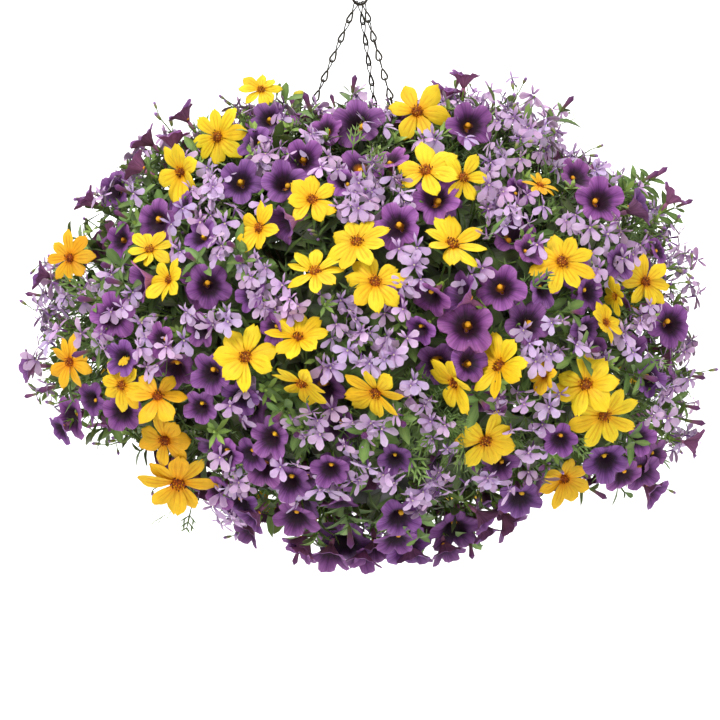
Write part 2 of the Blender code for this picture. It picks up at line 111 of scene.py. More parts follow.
def from_pixels(pixels, share, ahead=0.0):
    """Points on the front of the ball, at a share of its reach, that the camera sees at these pixels.

    All of them stand at least ahead metres nearer to the camera than the ball's middle.
    """
    pixels = np.asarray(pixels, float)
    y = np.zeros(len(pixels))
    for _ in range(8):
        size = PIXEL * (y - EYE[1]) / -EYE[1]
        x = EYE[0] + (pixels[:, 0] - FRAME_PIXELS / 2) * size
        z = EYE[2] - (pixels[:, 1] - FRAME_PIXELS / 2) * size
        side = outline(x - BALL_ASIDE, z + BALL_DROP)
        across = np.hypot(x - BALL_ASIDE, z + BALL_DROP) / (side * share)
        y = -BALL_DEPTH * share * np.clip(1.0 - across**BALL_POWER, 0.0, 1.0) ** (1 / BALL_POWER)
        y = np.minimum(y, -ahead)
    return np.stack([x, y, z], axis=1)


def frames(facing, sideways):
    """Rotation matrices whose Z faces along facing and whose X lies near sideways."""
    z = unit(facing)
    x = sideways - (sideways * z).sum(-1, keepdims=True) * z
    x = unit(x)
    return np.stack([x, np.cross(z, x), z], axis=-1)


def spin(matrices, turns):
    """Matrices turned about their own Z."""
    c, s = np.cos(turns), np.sin(turns)
    zero = np.zeros_like(c)
    rows = [[c, -s, zero], [s, c, zero], [zero, zero, zero + 1.0]]
    return matrices @ np.stack([np.stack(row, -1) for row in rows], -2)


def show(name, data):
    """A new object in the scene."""
    obj = bpy.data.objects.new(name, data)
    bpy.context.scene.collection.objects.link(obj)
    return obj


def fans(faces):
    """Faces of any number of corners, split into triangles."""
    return np.array([(face[0], face[k], face[k + 1]) for face in faces for k in range(1, len(face) - 1)])


class Mesh:
    """Points and triangles, with a colour and a petal coordinate for each point, gathered part by part."""

    def __init__(self):
        self.parts, self.count = [], 0

    def take(self, points, triangles, colours, coords):
        n = len(points)
        colours, coords = np.broadcast_to(colours, (n, 3)), np.broadcast_to(coords, (n, 2))
        self.parts.append((points, triangles + self.count, colours, coords))
        self.count += n

    def add(self, points, faces, colours, coords=(0.5, 0.5)):
        self.take(np.asarray(points, float).reshape(-1, 3), fans(faces), colours, coords)

    def done(self):
        self.v, self.f, self.c, self.t = (np.concatenate(part) for part in zip(*self.parts))
        return self

    def stamp(self, shape, matrices, places, tint=None):
        """Copies of the shape at each place, its colours multiplied by a tint for each copy."""
        k, n = len(places), len(shape.v)
        if k == 0:
            return
        v = np.einsum("kij,nj->kni", matrices, shape.v) + places[:, None, :]
        c = np.broadcast_to(shape.c, v.shape) * (1.0 if tint is None else tint[:, None, :])
        f = shape.f[None] + (n * np.arange(k))[:, None, None]
        t = np.broadcast_to(shape.t, (k, n, 2))
        self.take(v.reshape(-1, 3), f.reshape(-1, 3), c.reshape(-1, 3), t.reshape(-1, 2))

    def build(self, name, material, slot, replaces=()):
        """One object of all the parts, with its material, in place of the nodes that it replaces. The slot is
        not used.
        """
        self.done()
        corners = self.f.size
        mesh = bpy.data.meshes.new(name)
        mesh.vertices.add(self.count)
        mesh.vertices.foreach_set("co", self.v.astype(np.float32).ravel())
        mesh.loops.add(corners)
        mesh.loops.foreach_set("vertex_index", self.f.astype(np.int32).ravel())
        mesh.polygons.add(len(self.f))
        mesh.polygons.foreach_set("loop_start", np.arange(0, corners, 3, dtype=np.int32))
        mesh.update(calc_edges=True)
        mesh.validate()
        mesh.polygons.foreach_set("use_smooth", np.ones(len(mesh.polygons), bool))
        mesh.set_sharp_from_angle(angle=math.radians(125.0))
        tint = mesh.color_attributes.new("tint", "FLOAT_COLOR", "POINT")
        rgba = np.concatenate([np.clip(self.c, 0.0, 1.0), np.ones((self.count, 1))], axis=1)
        tint.data.foreach_set("color", rgba.astype(np.float32).ravel())
        layer = mesh.uv_layers.new(name="petal")
        loops = np.empty(len(mesh.loops), np.int32)
        mesh.loops.foreach_get("vertex_index", loops)
        layer.data.foreach_set("uv", self.t[loops].astype(np.float32).ravel())
        mesh.materials.append(material)
        obj = show(name, mesh)
        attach(obj, "root")
        if replaces:
            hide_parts(*replaces)
        print(name, len(mesh.polygons), "triangles")


def skin(rows, way=1):
    """Faces between rings of points. A ring may be a single point. The way, 1 or -1, turns them over."""
    faces = []
    for here, there in zip(rows, rows[1:]):
        n = max(len(here), len(there))
        for i in range(n):
            k = (i + 1) % n
            if len(here) == 1:
                corners = (here[0], there[i], there[k])
            elif len(there) == 1:
                corners = (there[0], here[k], here[i])
            else:
                corners = (here[i], there[i], there[k], here[k])
            faces.append(corners[:1] + corners[1:][::way])
    return faces


def tube_faces(rings, sides, closed=False):
    """Faces of a tube, which is open, closed on itself, or has a flat cap at each end."""
    rows = [range(i * sides, (i + 1) * sides) for i in range(rings)]
    if closed:
        return skin(rows + rows[:1], -1)
    return skin(rows, -1) + [(rows[0][0], *rows[0][:0:-1]), tuple(rows[-1])]


def blade(shape, stations, across, place, colour, thickness, turn=0.0):
    """A closed thin leaf or petal along +X, turned about +Z: a shaped upper face over a plain lower one.

    Each station is (share of the length, half width). place(along, side, half) gives the upper surface at a
    share of the length and a signed offset, and colour(along, side, lower) gives the linear colour.
    """
    c, s = math.cos(turn), math.sin(turn)
    points, colours, coords, rows = [], [], [], []
    for along, half in stations:
        spots = [(side, False) for side in across] + [(0.0, True)] if half > 1e-6 else [(0.0, False)]
        rows.append(range(len(points), len(points) + len(spots)))
        for side, lower in spots:
            x, y, z = place(along, side, half)
            points.append((x * c - y * s, x * s + y * c, z - thickness * lower))
            colours.append(colour(along, side, lower))
            coords.append((0.5 + side / 2, along))
    ends = [tuple(row)[::way] for row, way in ((rows[0], 1), (rows[-1], -1)) if len(row) > 1]
    shape.add(points, skin(rows) + ends, np.array(colours), np.array(coords))


def lathe(shape, profile, sides, colours, middle=(0.0, 0.0)):
    """A closed turned form, from a profile of (radius, height) that starts and ends on the axis."""
    if profile[0][1] > profile[-1][1]:
        profile, colours = profile[::-1], colours[::-1]
    points, tints, rows = [], [], []
    for (radius, height), colour in zip(profile, colours):
        n = 1 if radius < 1e-7 else sides
        rows.append(range(len(points), len(points) + n))
        for k in range(n):
            t = math.tau * k / n
            points.append((middle[0] + radius * math.cos(t), middle[1] + radius * math.sin(t), height))
            tints.append(colour)
    shape.add(points, skin(rows, -1), np.array(tints))


def tube_run(piece, paths, radius, sides, colour, taper):
    """Closed round tubes along many paths that all have the same number of points."""
    paths = np.asarray(paths, float)
    k, n, _ = paths.shape
    tangent = unit(np.gradient(paths, axis=1))
    a = unit(np.cross(tangent, np.where(np.abs(tangent[..., 2:3]) < 0.9, UP, np.array([1.0, 0.0, 0.0]))))
    b = np.cross(tangent, a)
    turns = math.tau * np.arange(sides) / sides
    size = radius * np.linspace(1.0, taper, n)[None, :, None, None]
    ring = np.cos(turns)[:, None] * a[:, :, None] + np.sin(turns)[:, None] * b[:, :, None]
    points = paths[:, :, None] + size * ring
    faces = fans(tube_faces(n, sides))[None] + (n * sides * np.arange(k))[:, None, None]
    coords = np.stack([np.tile(turns / math.tau, n), np.repeat(np.linspace(0.0, 1.0, n), sides)], 1)
    piece.take(points.reshape(-1, 3), faces.reshape(-1, 3), colour, np.tile(coords, (k, 1)))


def bent(starts, ends, leave, arrive, steps):
    """Smooth curves from starts to ends that leave and arrive along the given vectors."""
    u = np.linspace(0.0, 1.0, steps)[None, :, None]
    h0, h1 = 2 * u**3 - 3 * u**2 + 1, -2 * u**3 + 3 * u**2
    g0, g1 = u**3 - 2 * u**2 + u, u**3 - u**2
    return h0 * starts[:, None] + h1 * ends[:, None] + g0 * leave[:, None] + g1 * arrive[:, None]


def sweep(piece, path, radius, sides, closed=False):
    """One round wire along a path, carried without twist and closed on itself where asked."""
    path = np.asarray(path, float)
    n = len(path)
    if closed:
        tangent = unit(np.roll(path, -1, axis=0) - np.roll(path, 1, axis=0))
    else:
        tangent = unit(np.gradient(path, axis=0))
    a = np.empty_like(path)
    a[0] = unit(np.cross(tangent[0], UP if abs(tangent[0][2]) < 0.9 else np.array([1.0, 0.0, 0.0])))
    for i in range(1, n):
        a[i] = unit(a[i - 1] - (a[i - 1] @ tangent[i]) * tangent[i])
    b = np.cross(tangent, a)
    extra = 0.0
    if closed:
        back = unit(a[-1] - (a[-1] @ tangent[0]) * tangent[0])
        extra = math.atan2(back @ b[0], back @ a[0])
    angle = (math.tau * np.arange(sides) / sides - extra * np.arange(n)[:, None] / n)[:, :, None]
    size = np.broadcast_to(np.asarray(radius, float), (n,))[:, None, None]
    points = path[:, None] + size * (np.cos(angle) * a[:, None] + np.sin(angle) * b[:, None])
    piece.add(points, tube_faces(n, sides, closed), WHITE)


def smooth(points, closed, steps):
    """A path through the given points with no corners."""
    points = np.asarray(points, float)
    n = len(points)
    out = []
    for i in range(n if closed else n - 1):
        p = [points[(i + k) % n] if closed else points[min(max(i + k, 0), n - 1)] for k in (-1, 0, 1, 2)]
        for u in np.arange(steps) / steps:
            out.append(0.5 * (2 * p[1] + (p[2] - p[0]) * u + (2 * p[0] - 5 * p[1] + 4 * p[2] - p[3]) * u**2
                              + (3 * p[1] - p[0] - 3 * p[2] + p[3]) * u**3))
    if not closed:
        out.append(points[-1])
    return np.array(out)


def mix(a, b, t):
    return a + (b - a) * min(max(t, 0.0), 1.0)


def plain(colour):
    return lambda along, side, lower: colour


# Bidens

BIDENS_SPAN = 0.0235
YELLOW = srgb(242, 208, 38)
GOLD = srgb(240, 168, 8)
ORANGE = srgb(214, 112, 10)
DISC = srgb(150, 78, 16)
DISC_DARK = srgb(104, 46, 12)
# Each rib's height by its place across the ray, and the ray's half width along it
RIBS = {-1.0: 0.0, -0.62: 0.55, -0.3: -0.75, 0.0: 0.55, 0.3: -0.75, 0.62: 0.55, 1.0: 0.0}
RAY = [(0.0, 0.20), (0.14, 0.44), (0.32, 0.76), (0.50, 0.96), (0.67, 1.0), (0.83, 0.84), (0.94, 0.60),
       (1.0, 0.36)]
DISC_TUBES = 28
GOLDEN_ANGLE = 2.39996


def bidens_shape(seed, petals, cup):
    """A bidens head: broad ribbed rays with toothed tips round a disc of small tubes."""
    r = np.random.default_rng(seed)
    shape = Mesh()
    low_side = r.uniform(0.0, math.tau)
    for k in range(petals):
        turn = math.tau * (k + r.uniform(-0.20, 0.20)) / petals
        length = BIDENS_SPAN * r.uniform(0.80, 1.10)
        wide = BIDENS_SPAN * min(0.32, 2.15 / petals) * r.uniform(0.82, 1.10)
        lift = cup + r.uniform(-0.16, 0.20) + 0.22 * math.cos(turn - low_side)
        droop, roll = r.uniform(0.05, 0.50), r.uniform(-0.42, 0.42)
        arch, sway = r.uniform(-0.10, 0.34), r.uniform(-0.10, 0.10)
        shade = max(0.0, r.uniform(-0.25, 0.40))
        teeth = {side: r.uniform(-0.05, 0.04) - 0.04 * (side == 0.0) for side in RIBS}
        teeth[-1.0] = teeth[1.0] = -0.09

        def place(along, side, half):
            out = 0.0024 + along * length * (1.0 + teeth[side] * max(0.0, along - 0.74) / 0.26)
            rise = lift * along * length * (1.0 - 0.30 * along)
            z = 0.0007 * (k % 3) + rise - droop * length * max(0.0, along - 0.35) ** 2
            z += RIBS[side] * 0.0011 * math.sin(math.pi * min(1.0, along * 1.1))
            z += roll * side * half * (0.3 + along) - arch * side * side * half
            return (out, side * half + sway * length * along * along, z)

        def colour(along, side, lower):
            # The furrows stay deeper gold, most near the disc: partly the ray's own lines, partly painted
            # shade in the grooves
            furrow = RIBS[side] < 0.0
            base = mix(mix(ORANGE, GOLD, along / 0.14), YELLOW, (along - 0.06) / 0.30 - 0.25 * furrow)
            base = mix(base, GOLD, shade + 0.42 * furrow * (1.0 - along) ** 1.5)
            return mix(base, GOLD, 0.75) * 0.85 if lower else base

        stations = [(along, share * wide) for along, share in RAY]
        blade(shape, stations, tuple(RIBS), place, colour, 0.0009, turn)
    dome = [(0.0, 0.0036), (0.0026, 0.0030), (0.0044, 0.0012), (0.0046, -0.0010), (0.0, -0.0016)]
    lathe(shape, dome, 8, [DISC] * len(dome))
    for k in range(DISC_TUBES):
        u, t = math.sqrt((k + 0.5) / DISC_TUBES), GOLDEN_ANGLE * k
        z, tall = 0.0036 - 0.0026 * u * u, r.uniform(0.0014, 0.0030)
        splay = 0.0048 * u * (1.0 + 60 * tall * u)
        tip = DISC_DARK if r.random() < 0.30 else (ORANGE if r.random() < 0.6 else GOLD)
        lathe(shape, [(0.0, z + tall), (0.00062, z + tall * 0.45), (0.0, z - 0.0008)], 4,
              [tip, tip * 0.8, DISC], (splay * math.cos(t), splay * math.sin(t)))
    green = srgb(104, 128, 44)
    cup_profile = [(0.0, -0.0006), (0.0042, -0.0012), (0.0036, -0.0034), (0.0011, -0.0058), (0.0, -0.0062)]
    lathe(shape, cup_profile, 7, [green] * 5)

    def bract(along, side, half):
        return (0.0030 + 0.0068 * along, side * half, -0.0040 + 0.0028 * along * along)

    for k in range(8):
        turn = math.tau * (k + 0.5) / 8
        blade(shape, [(0.0, 0.0012), (1.0, 0.0)], (-1.0, 1.0), bract, plain(green), 0.0003, turn)
    return shape.done()


# Calibrachoa

CALIBRACHOA_SPAN = 0.0185
PURPLE = srgb(106, 46, 120)
# The pale rim colour: partly the flower's own, partly a painted velvet sheen
PURPLE_EDGE_AND_SHEEN = srgb(168, 108, 176)
THROAT = srgb(47, 22, 44)
MAUVE = srgb(172, 106, 156)
TUBE = srgb(150, 92, 122)
EYE_YELLOW = srgb(238, 152, 26)
EYE_GOLD = srgb(246, 178, 40)
# Shares of the limb's radius where its upper and lower faces are measured, coarse and fine
UPPER = ([0.0, 0.20, 0.40, 0.60, 0.80, 1.0], [0.0, 0.12, 0.24, 0.36, 0.50, 0.64, 0.78, 0.90, 1.0])
UNDER = ([0.97, 0.50, 0.0], [0.97, 0.62, 0.30, 0.0])


def calibrachoa_shape(seed, flare, per_lobe):
    """A calibrachoa: five notched lobes on a funnel with a black-purple throat and a small orange eye."""
    r = np.random.default_rng(seed)
    shape = Mesh()
    span, sides, points, colours, coords = CALIBRACHOA_SPAN, 5 * per_lobe, [], [], []
    phase = r.uniform(0.0, math.tau, 2)
    tips = r.uniform(-0.08, 0.06, 5)
    folds = r.uniform(-0.24, 0.20, 5)
    fine = per_lobe > 5
    deep = 0.0115 * max(0.60, 1.15 - 0.35 * flare)
    for u, lower in [(u, False) for u in UPPER[fine]] + [(u, True) for u in UNDER[fine]]:
        for k in range(sides):
            t = math.tau * k / sides
            which, lobe = k // per_lobe, (k % per_lobe) / per_lobe
            crown = math.sin(math.pi * lobe) ** 0.50
            rim = span * (1.0 + tips[which] * crown)
            radius = 0.0015 + (rim - 0.0015) * u**1.2 - 0.28 * span * (1.0 - crown) * u**3
            depth = -deep * (1.0 - u) ** 2.6 + flare * span * 0.34 * (u**2 - 0.45 * u**4)
            depth += folds[which] * span * u**2 * crown - 0.10 * span * (1.0 - crown) * u**2
            depth += 0.060 * span * math.sin(3 * t + phase[0]) * u**2
            depth += 0.045 * span * math.sin(10 * t + phase[1]) * u**3 - 0.16 * span * max(0.0, u - 0.7)
            points.append((radius * math.cos(t), radius * math.sin(t), depth - 0.0004 * lower))
            # Both faces darken towards the notches: partly the flower's own lines, partly painted shade in
            # the folds there
            vein = math.exp(-(((lobe - 0.5) / 0.10) ** 2))
            if lower:
                tone = mix(TUBE, MAUVE, u * 1.6) * (0.80 + 0.25 * crown)
            elif u < 0.22:
                tone = mix(THROAT, EYE_YELLOW, 1.5 * math.sin(t) - 0.35)
            else:
                tone = mix(THROAT, PURPLE, (u - 0.36 - 0.09 * (1.0 - crown) - 0.08 * vein) / 0.26)
                # Paler towards the rim: partly the flower's own colour, partly a painted velvet sheen
                tone = mix(tone, PURPLE_EDGE_AND_SHEEN, (u - 0.52) / 0.48 * (0.95 - 0.60 * vein))
                tone = tone * (1.0 - 0.30 * vein * (1.0 - u)) * (0.78 + 0.22 * crown)
            colours.append(tone)
            coords.append((which + lobe, u))
    top = len(points)
    rows = [range(at, at + sides) for at in range(0, top, sides)]
    points += [(0.0, 0.0, -deep), (0.0, 0.0, -deep - 0.0005)]
    colours += [EYE_YELLOW * 0.6, TUBE]
    coords += [(0.5, 0.0), (0.5, 0.0)]
    shape.add(points, skin([[top + 1], *rows[::-1], [top]], -1), np.array(colours), np.array(coords))
    lump = [(0.0, 0.35), (0.0019, 0.44), (0.0023, 0.59), (0.0, 0.76)]
    lathe(shape, [(radius, -deep * low) for radius, low in lump], 6,
          [EYE_GOLD, EYE_GOLD, EYE_YELLOW, EYE_YELLOW], (0.0002, 0.0027))
    tube = [(0.0, -deep - 0.0006), (0.0021, -deep + 0.0004), (0.0025, -0.0155), (0.0020, -0.0185),
            (0.0, -0.0190)]
    lathe(shape, tube, 7, [TUBE, TUBE, TUBE, TUBE * 0.9, TUBE * 0.8])
    green = srgb(130, 158, 62)
    lathe(shape, [(0.0, -0.0160), (0.0025, -0.0170), (0.0020, -0.0205), (0.0, -0.0215)], 6, [green] * 4)

    def sepal(along, side, half):
        return (0.0024 + 0.0016 * along + 0.0030 * along * along, side * half, -0.0180 + 0.0095 * along)

    for k in range(5):
        turn = math.tau * (k + 0.5) / 5
        stations = [(0.0, 0.0008), (0.6, 0.0012), (1.0, 0.0)]
        blade(shape, stations, (-1.0, 1.0), sepal, plain(green), 0.0003, turn)
    return shape.done()


# Lobelia

LOBELIA_SPAN = 0.0110
LILAC = srgb(204, 168, 212)
LILAC_PALE = srgb(232, 206, 232)
LILAC_DEEP = srgb(146, 98, 168)
# Each lobe's bearing, length and half width. The last two are the narrow upper ones
LOBES = [(-90, 1.0, 0.31), (-150, 0.96, 0.29), (-30, 0.96, 0.29), (66, 0.74, 0.11), (114, 0.74, 0.11)]
BROAD_LOBE = [(0.0, 0.20), (0.40, 0.66), (0.74, 1.0), (0.94, 0.62), (1.04, 0.0)]
NARROW_LOBE = [(0.0, 0.5), (0.62, 1.0), (1.0, 0.0)]


def lobelia_shape(seed):
    """A lobelia floret: three broad lobes and two narrow ones on a thin tube. -Y is its lower side."""
    r = np.random.default_rng(seed)
    shape = Mesh()
    for angle, size, wide in LOBES:
        broad = wide > 0.2
        turn = math.radians(angle + r.uniform(-9, 9))
        length = LOBELIA_SPAN * size * r.uniform(0.90, 1.10)
        lift = r.uniform(-0.20, 0.35) if broad else r.uniform(0.1, 1.1)
        curl, fold, shade = r.uniform(0.0, 0.50), r.uniform(-0.30, 0.35), r.uniform(-0.2, 0.6)

        def place(along, side, half):
            out, y = 0.0006 + along * length, side * half
            return (out, y, lift * out - curl * length * along * along + fold * abs(y))

        def colour(along, side, lower):
            tone = mix(LILAC_DEEP, LILAC, (along - 0.04) / 0.30)
            tone = mix(tone, LILAC_PALE, (along - 0.25) * (0.6 + shade) * (1.0 if side else 0.4))
            return mix(tone, LILAC_DEEP, 0.30) if lower else tone

        w = LOBELIA_SPAN * wide * r.uniform(0.9, 1.08)
        stations = [(along, share * w) for along, share in (BROAD_LOBE if broad else NARROW_LOBE)]
        blade(shape, stations, (-1.0, 0.0, 1.0), place, colour, 0.0003, turn)
    white, eye = srgb(222, 204, 218), srgb(226, 196, 90)
    tube = [(0.0, 0.0009), (0.0008, 0.0004), (0.0008, -0.0020), (0.0005, -0.0072), (0.0, -0.0076)]
    lathe(shape, tube, 5, [eye, white, LILAC_DEEP, LILAC_DEEP * 0.7, LILAC_DEEP * 0.7], (0.0, -0.0008))
    lathe(shape, [(0.0, -0.0066), (0.0012, -0.0076), (0.0, -0.0105)], 4, [srgb(112, 140, 60)] * 3)
    return shape.done()


# Leaves and buds

LEAF = srgb(86, 120, 56)
LEAF_LIGHT = srgb(136, 166, 88)
LIME = srgb(146, 176, 84)
# Grey-brown for the inner leaves: painted shade that darkens the gaps deep in the ball
PAINTED_SHADE_GREY = srgb(92, 94, 82)
# Leaf outlines: share of the length, share of the half width
OVAL = [(-0.10, 0.14), (0.22, 0.66), (0.50, 1.0), (0.78, 0.72), (1.0, 0.0)]
SPOON = [(-0.12, 0.12), (0.22, 0.32), (0.58, 0.94), (0.84, 0.82), (1.0, 0.0)]
SLIM = [(-0.10, 0.20), (0.45, 1.0), (1.0, 0.0)]
BROAD = [(-0.10, 0.20), (0.40, 1.0), (0.80, 0.62), (1.0, 0.0)]


def leaf_shape(seed, length, width, droop, outline, base=LEAF):
    """A leaf folded a little along its rib, its root at the origin and its tip along +X."""
    r = np.random.default_rng(seed)
    fold, sway = r.uniform(0.15, 0.50), r.uniform(-0.14, 0.14)

    def place(along, side, half):
        y = side * half + sway * length * along * along
        return (along * length, y, fold * abs(side) * half - droop * length * along * along)

    def colour(along, side, lower):
        shade = mix(base, LEAF_LIGHT, 0.50 * (side == 0.0) + 0.25 * along)
        return mix(shade, LEAF_LIGHT, 0.35) * 0.9 if lower else shade

    shape = Mesh()
    blade(shape, [(a, h * width / 2) for a, h in outline], (-1.0, 0.0, 1.0), place, colour, 0.0004)
    return shape.done()


def rosette_shape(seed, leaves, length, width):
    """A young shoot tip: narrow pale leaves in a star round a small bud, opening along +Z."""
    r = np.random.default_rng(seed)
    shape = Mesh()
    for k in range(leaves):
        turn = math.tau * (k + r.uniform(-0.3, 0.3)) / leaves
        size, rise = length * r.uniform(0.65, 1.15), r.uniform(0.25, 1.3)

        def place(along, side, half):
            z = along * size * math.sin(rise) - 0.25 * size * along * along + 0.3 * abs(side * half)
            return (0.0006 + along * size * math.cos(rise), side * half, z)

        def colour(along, side, lower):
            return mix(LEAF, LIME, 0.45 + 0.4 * (k % 2) + 0.2 * (side == 0.0)) * (0.85 if lower else 1.0)

        stations = [(0.0, 0.25 * width), (0.55, width / 2), (1.0, 0.0)]
        blade(shape, stations, (-1.0, 0.0, 1.0), place, colour, 0.0003, turn)
    lathe(shape, [(0.0, 0.0052), (0.0013, 0.0028), (0.0010, 0.0), (0.0, -0.0012)], 5, [LIME] * 4)
    return shape.done()


def cut_leaf_shape(seed, length):
    """A bidens leaf: thin forked segments in pairs along a rib, its tip along +X."""
    r = np.random.default_rng(seed)
    shape = Mesh()

    def segment(x, y, z, turn, size, rise):
        c, s = math.cos(turn), math.sin(turn)

        def place(along, side, half):
            a, b = along * size, side * half
            return (x + a * c - b * s, y + a * s + b * c, z + rise * a - 0.12 * size * along * along)

        def colour(along, side, lower):
            return mix(LEAF, LEAF_LIGHT, 0.25 + 0.35 * along) * (0.8 if lower else 1.0)

        blade(shape, [(0.0, 0.0006), (0.45, 0.0012), (1.0, 0.0)], (-1.0, 0.0, 1.0), place, colour, 0.0003)

    segment(0.0, 0.0, 0.0, 0.0, length, 0.0)
    for k, share in enumerate((0.30, 0.52, 0.72)):
        for way in (-1, 1):
            x = share * length
            turn = way * r.uniform(0.62, 0.86)
            size = length * (0.46 - 0.10 * k) * r.uniform(0.85, 1.1)
            z = -0.12 * length * share * share
            segment(x, 0.0, z, turn, size, r.uniform(-0.1, 0.3))
            if k < 2:
                mid = 0.45 * size
                segment(x + mid * math.cos(turn), mid * math.sin(turn), z, turn - way * 0.7, size * 0.5, 0.1)
    return shape.done()


BUD_GREEN = srgb(118, 142, 58)
BUD_YELLOW = srgb(206, 190, 40)
# Closed buds: the profile along +Z, and the colours above the green calyx
BUDS = {
    "bidens": ([(0.0, -0.0030), (0.0030, -0.0016), (0.0046, 0.0012), (0.0036, 0.0036), (0.0, 0.0046)],
               [srgb(170, 170, 50), BUD_YELLOW, BUD_YELLOW]),
    "calibrachoa": ([(0.0, -0.0100), (0.0016, -0.0085), (0.0019, -0.0020), (0.0030, 0.0060), (0.0, 0.0100)],
                    [TUBE * 0.7, srgb(108, 52, 104), srgb(82, 34, 92)]),
    "lobelia": ([(0.0, -0.0040), (0.0009, -0.0030), (0.0013, -0.0005), (0.0012, 0.0022), (0.0, 0.0036)],
                [srgb(150, 150, 90), LILAC_DEEP, LILAC]),
}


def bud_shape(kind):
    profile, tones = BUDS[kind]
    shape = Mesh()
    lathe(shape, profile, 6, [BUD_GREEN, BUD_GREEN, *tones])
    return shape.done()


# Materials


def fill(mat, node, **sockets):
    """Sets sockets, named with _ for a space, to plain values or to other nodes' outputs."""
    for name, value in sockets.items():
        socket = node.inputs[name.replace("_", " ")]
        if isinstance(value, bpy.types.NodeSocket):
            mat.node_tree.links.new(value, socket)
        else:
            socket.default_value = value
    return node


def add_node(mat, kind, **sockets):
    return fill(mat, mat.node_tree.nodes.new("ShaderNode" + kind), **sockets)


def new_material(name, **sockets):
    mat = bpy.data.materials.new(name)
    mat.use_nodes = True
    return mat, fill(mat, mat.node_tree.nodes["Principled BSDF"], **sockets)


def ramp(mat, noise, stops):
    """A noise turned into colours, or into grey levels."""
    node = add_node(mat, "ValToRGB", Fac=noise.outputs["Fac"])
    elements = node.color_ramp.elements
    while len(elements) < len(stops):
        elements.new(0.5)
    for element, (at, value) in zip(elements, stops):
        element.position = at
        element.color = (*np.broadcast_to(value, 3), 1.0)
    return node.outputs["Color"]


def multiply(mat, a, b):
    node = mat.node_tree.nodes.new("ShaderNodeMix")
    node.data_type = "RGBA"
    node.blend_type = "MULTIPLY"
    node.inputs[0].default_value = 1.0
    mat.node_tree.links.new(a, node.inputs[6])
    mat.node_tree.links.new(b, node.inputs[7])
    return node.outputs[2]


def object_noise(mat, scale, detail):
    place = add_node(mat, "TexCoord")
    return add_node(mat, "TexNoise", Vector=place.outputs["Object"], Scale=scale, Detail=detail)


def bumps(mat, shader, noise, strength, distance):
    bump = add_node(mat, "Bump", Height=noise.outputs["Fac"], Strength=strength, Distance=distance)
    fill(mat, shader, Normal=bump.outputs["Normal"])


def petal(name, roughness, sheen, subsurface, streaks, low, strength):
    """Tinted by the mesh, with fine veins along each petal and a slow mottling."""
    mat, shader = new_material(
        name, Roughness=roughness, Sheen_Weight=sheen, Specular_IOR_Level=0.22, Subsurface_Weight=subsurface,
        Subsurface_Radius=(0.004, 0.003, 0.002), Subsurface_Scale=0.5)
    tint = add_node(mat, "VertexColor")
    tint.layer_name = "tint"
    uv = add_node(mat, "UVMap")
    uv.uv_map = "petal"
    stretch = add_node(mat, "Mapping", Vector=uv.outputs["UV"], Scale=(streaks, 1.2, 1.0))
    veins = add_node(mat, "TexNoise", Vector=stretch.outputs["Vector"], Scale=1.0, Detail=2.0)
    colour = multiply(mat, tint.outputs["Color"], ramp(mat, veins, [(0.30, low), (0.62, 1.0)]))
    patches = ramp(mat, object_noise(mat, 160.0, 2.0), [(0.30, 0.86), (0.65, 1.0)])
    fill(mat, shader, Base_Color=multiply(mat, colour, patches))
    bumps(mat, shader, veins, strength, 0.0006)
    return mat


def grained(name, scale, detail, stops, strength, distance, rough=None, **sockets):
    """Coloured, bumped and, where asked, roughened by one noise."""
    mat, shader = new_material(name, **sockets)
    grain = object_noise(mat, scale, detail)
    fill(mat, shader, Base_Color=ramp(mat, grain, [(at, srgb(*tone)) for at, tone in stops]))
    if rough:
        fill(mat, shader, Roughness=ramp(mat, grain, rough))
    bumps(mat, shader, grain, strength, distance)
    return mat


# Hook, chains, bowl and potting mix, on the same sizes as the solids

HOOK_WIRE = 0.004
HOOK_INNER_RADIUS = 0.016
EYE_WIRE = 0.0022
EYE_INNER_RADIUS = 0.0046
EYE_REST_DEPTH = 0.0725
WRAP_WIRE = 0.0022
WRAP_RADIUS = 0.0030
WRAP_HEIGHT = 0.0085
CHAIN_WIRE = 0.0016
CHAIN_PITCH = 0.0172
# Each chain's bearing, its place along the eye, and the twist of its first and eighth links
CHAINS = {
    "chain_left": (260.0, -0.0028, (38.0, 4.0)),
    "chain_back": (20.0, 0.0, (48.0, 40.0)),
    "chain_right": (140.0, 0.0028, (32.0, -28.0)),
}
# A link of one wire: half of its ring, as right, near and up, the last as a share of its reach
LINK = [(0.0, 0.0, 1.0), (0.0015, 0.0, 0.95), (0.0024, 0.0, 0.72), (0.0017, 0.0, 0.42), (0.0008, 0.0, 0.12),
        (0.0, 0.0005, -0.05), (0.0, 0.0014, -0.34), (0.0, 0.0023, -0.66), (0.0, 0.0018, -0.90)]
RIM_HEIGHT = -0.018
LUG_BEARING_RADIUS = 0.118
LUG_RADIUS = 0.005
LUG_WIRE = 0.0024
LUG_CENTRE = RIM_HEIGHT + 0.0042
BOWL = [
    (0.0, -0.137), (0.030, -0.137), (0.055, -0.137), (0.0845, -0.1215), (0.1035, -0.0905), (0.1125, -0.055),
    (0.1140, -0.026), (0.1145, -0.0195), (0.1155, RIM_HEIGHT), (0.1210, RIM_HEIGHT), (0.1220, -0.0195),
    (0.1218, -0.0232), (0.1180, -0.0252), (0.1172, -0.030), (0.115, -0.055), (0.106, -0.092),
    (0.086, -0.124), (0.056, -0.140), (0.052, -0.1385), (0.0, -0.1385),
]
SOIL_TOP = -0.030
SOIL_RADIUS = 0.1118
SOIL_RINGS = 26
SOIL_BELOW = [(0.1116, -0.055), (0.1026, -0.0905), (0.0838, -0.1208), (0.0545, -0.1362)]
AROUND = 72
WHITE = np.ones(3)


def level_at(bearing):
    """The level direction at a bearing in degrees, counted from +Y towards +X."""
    t = math.radians(bearing)
    return np.array([math.sin(t), math.cos(t), 0.0])


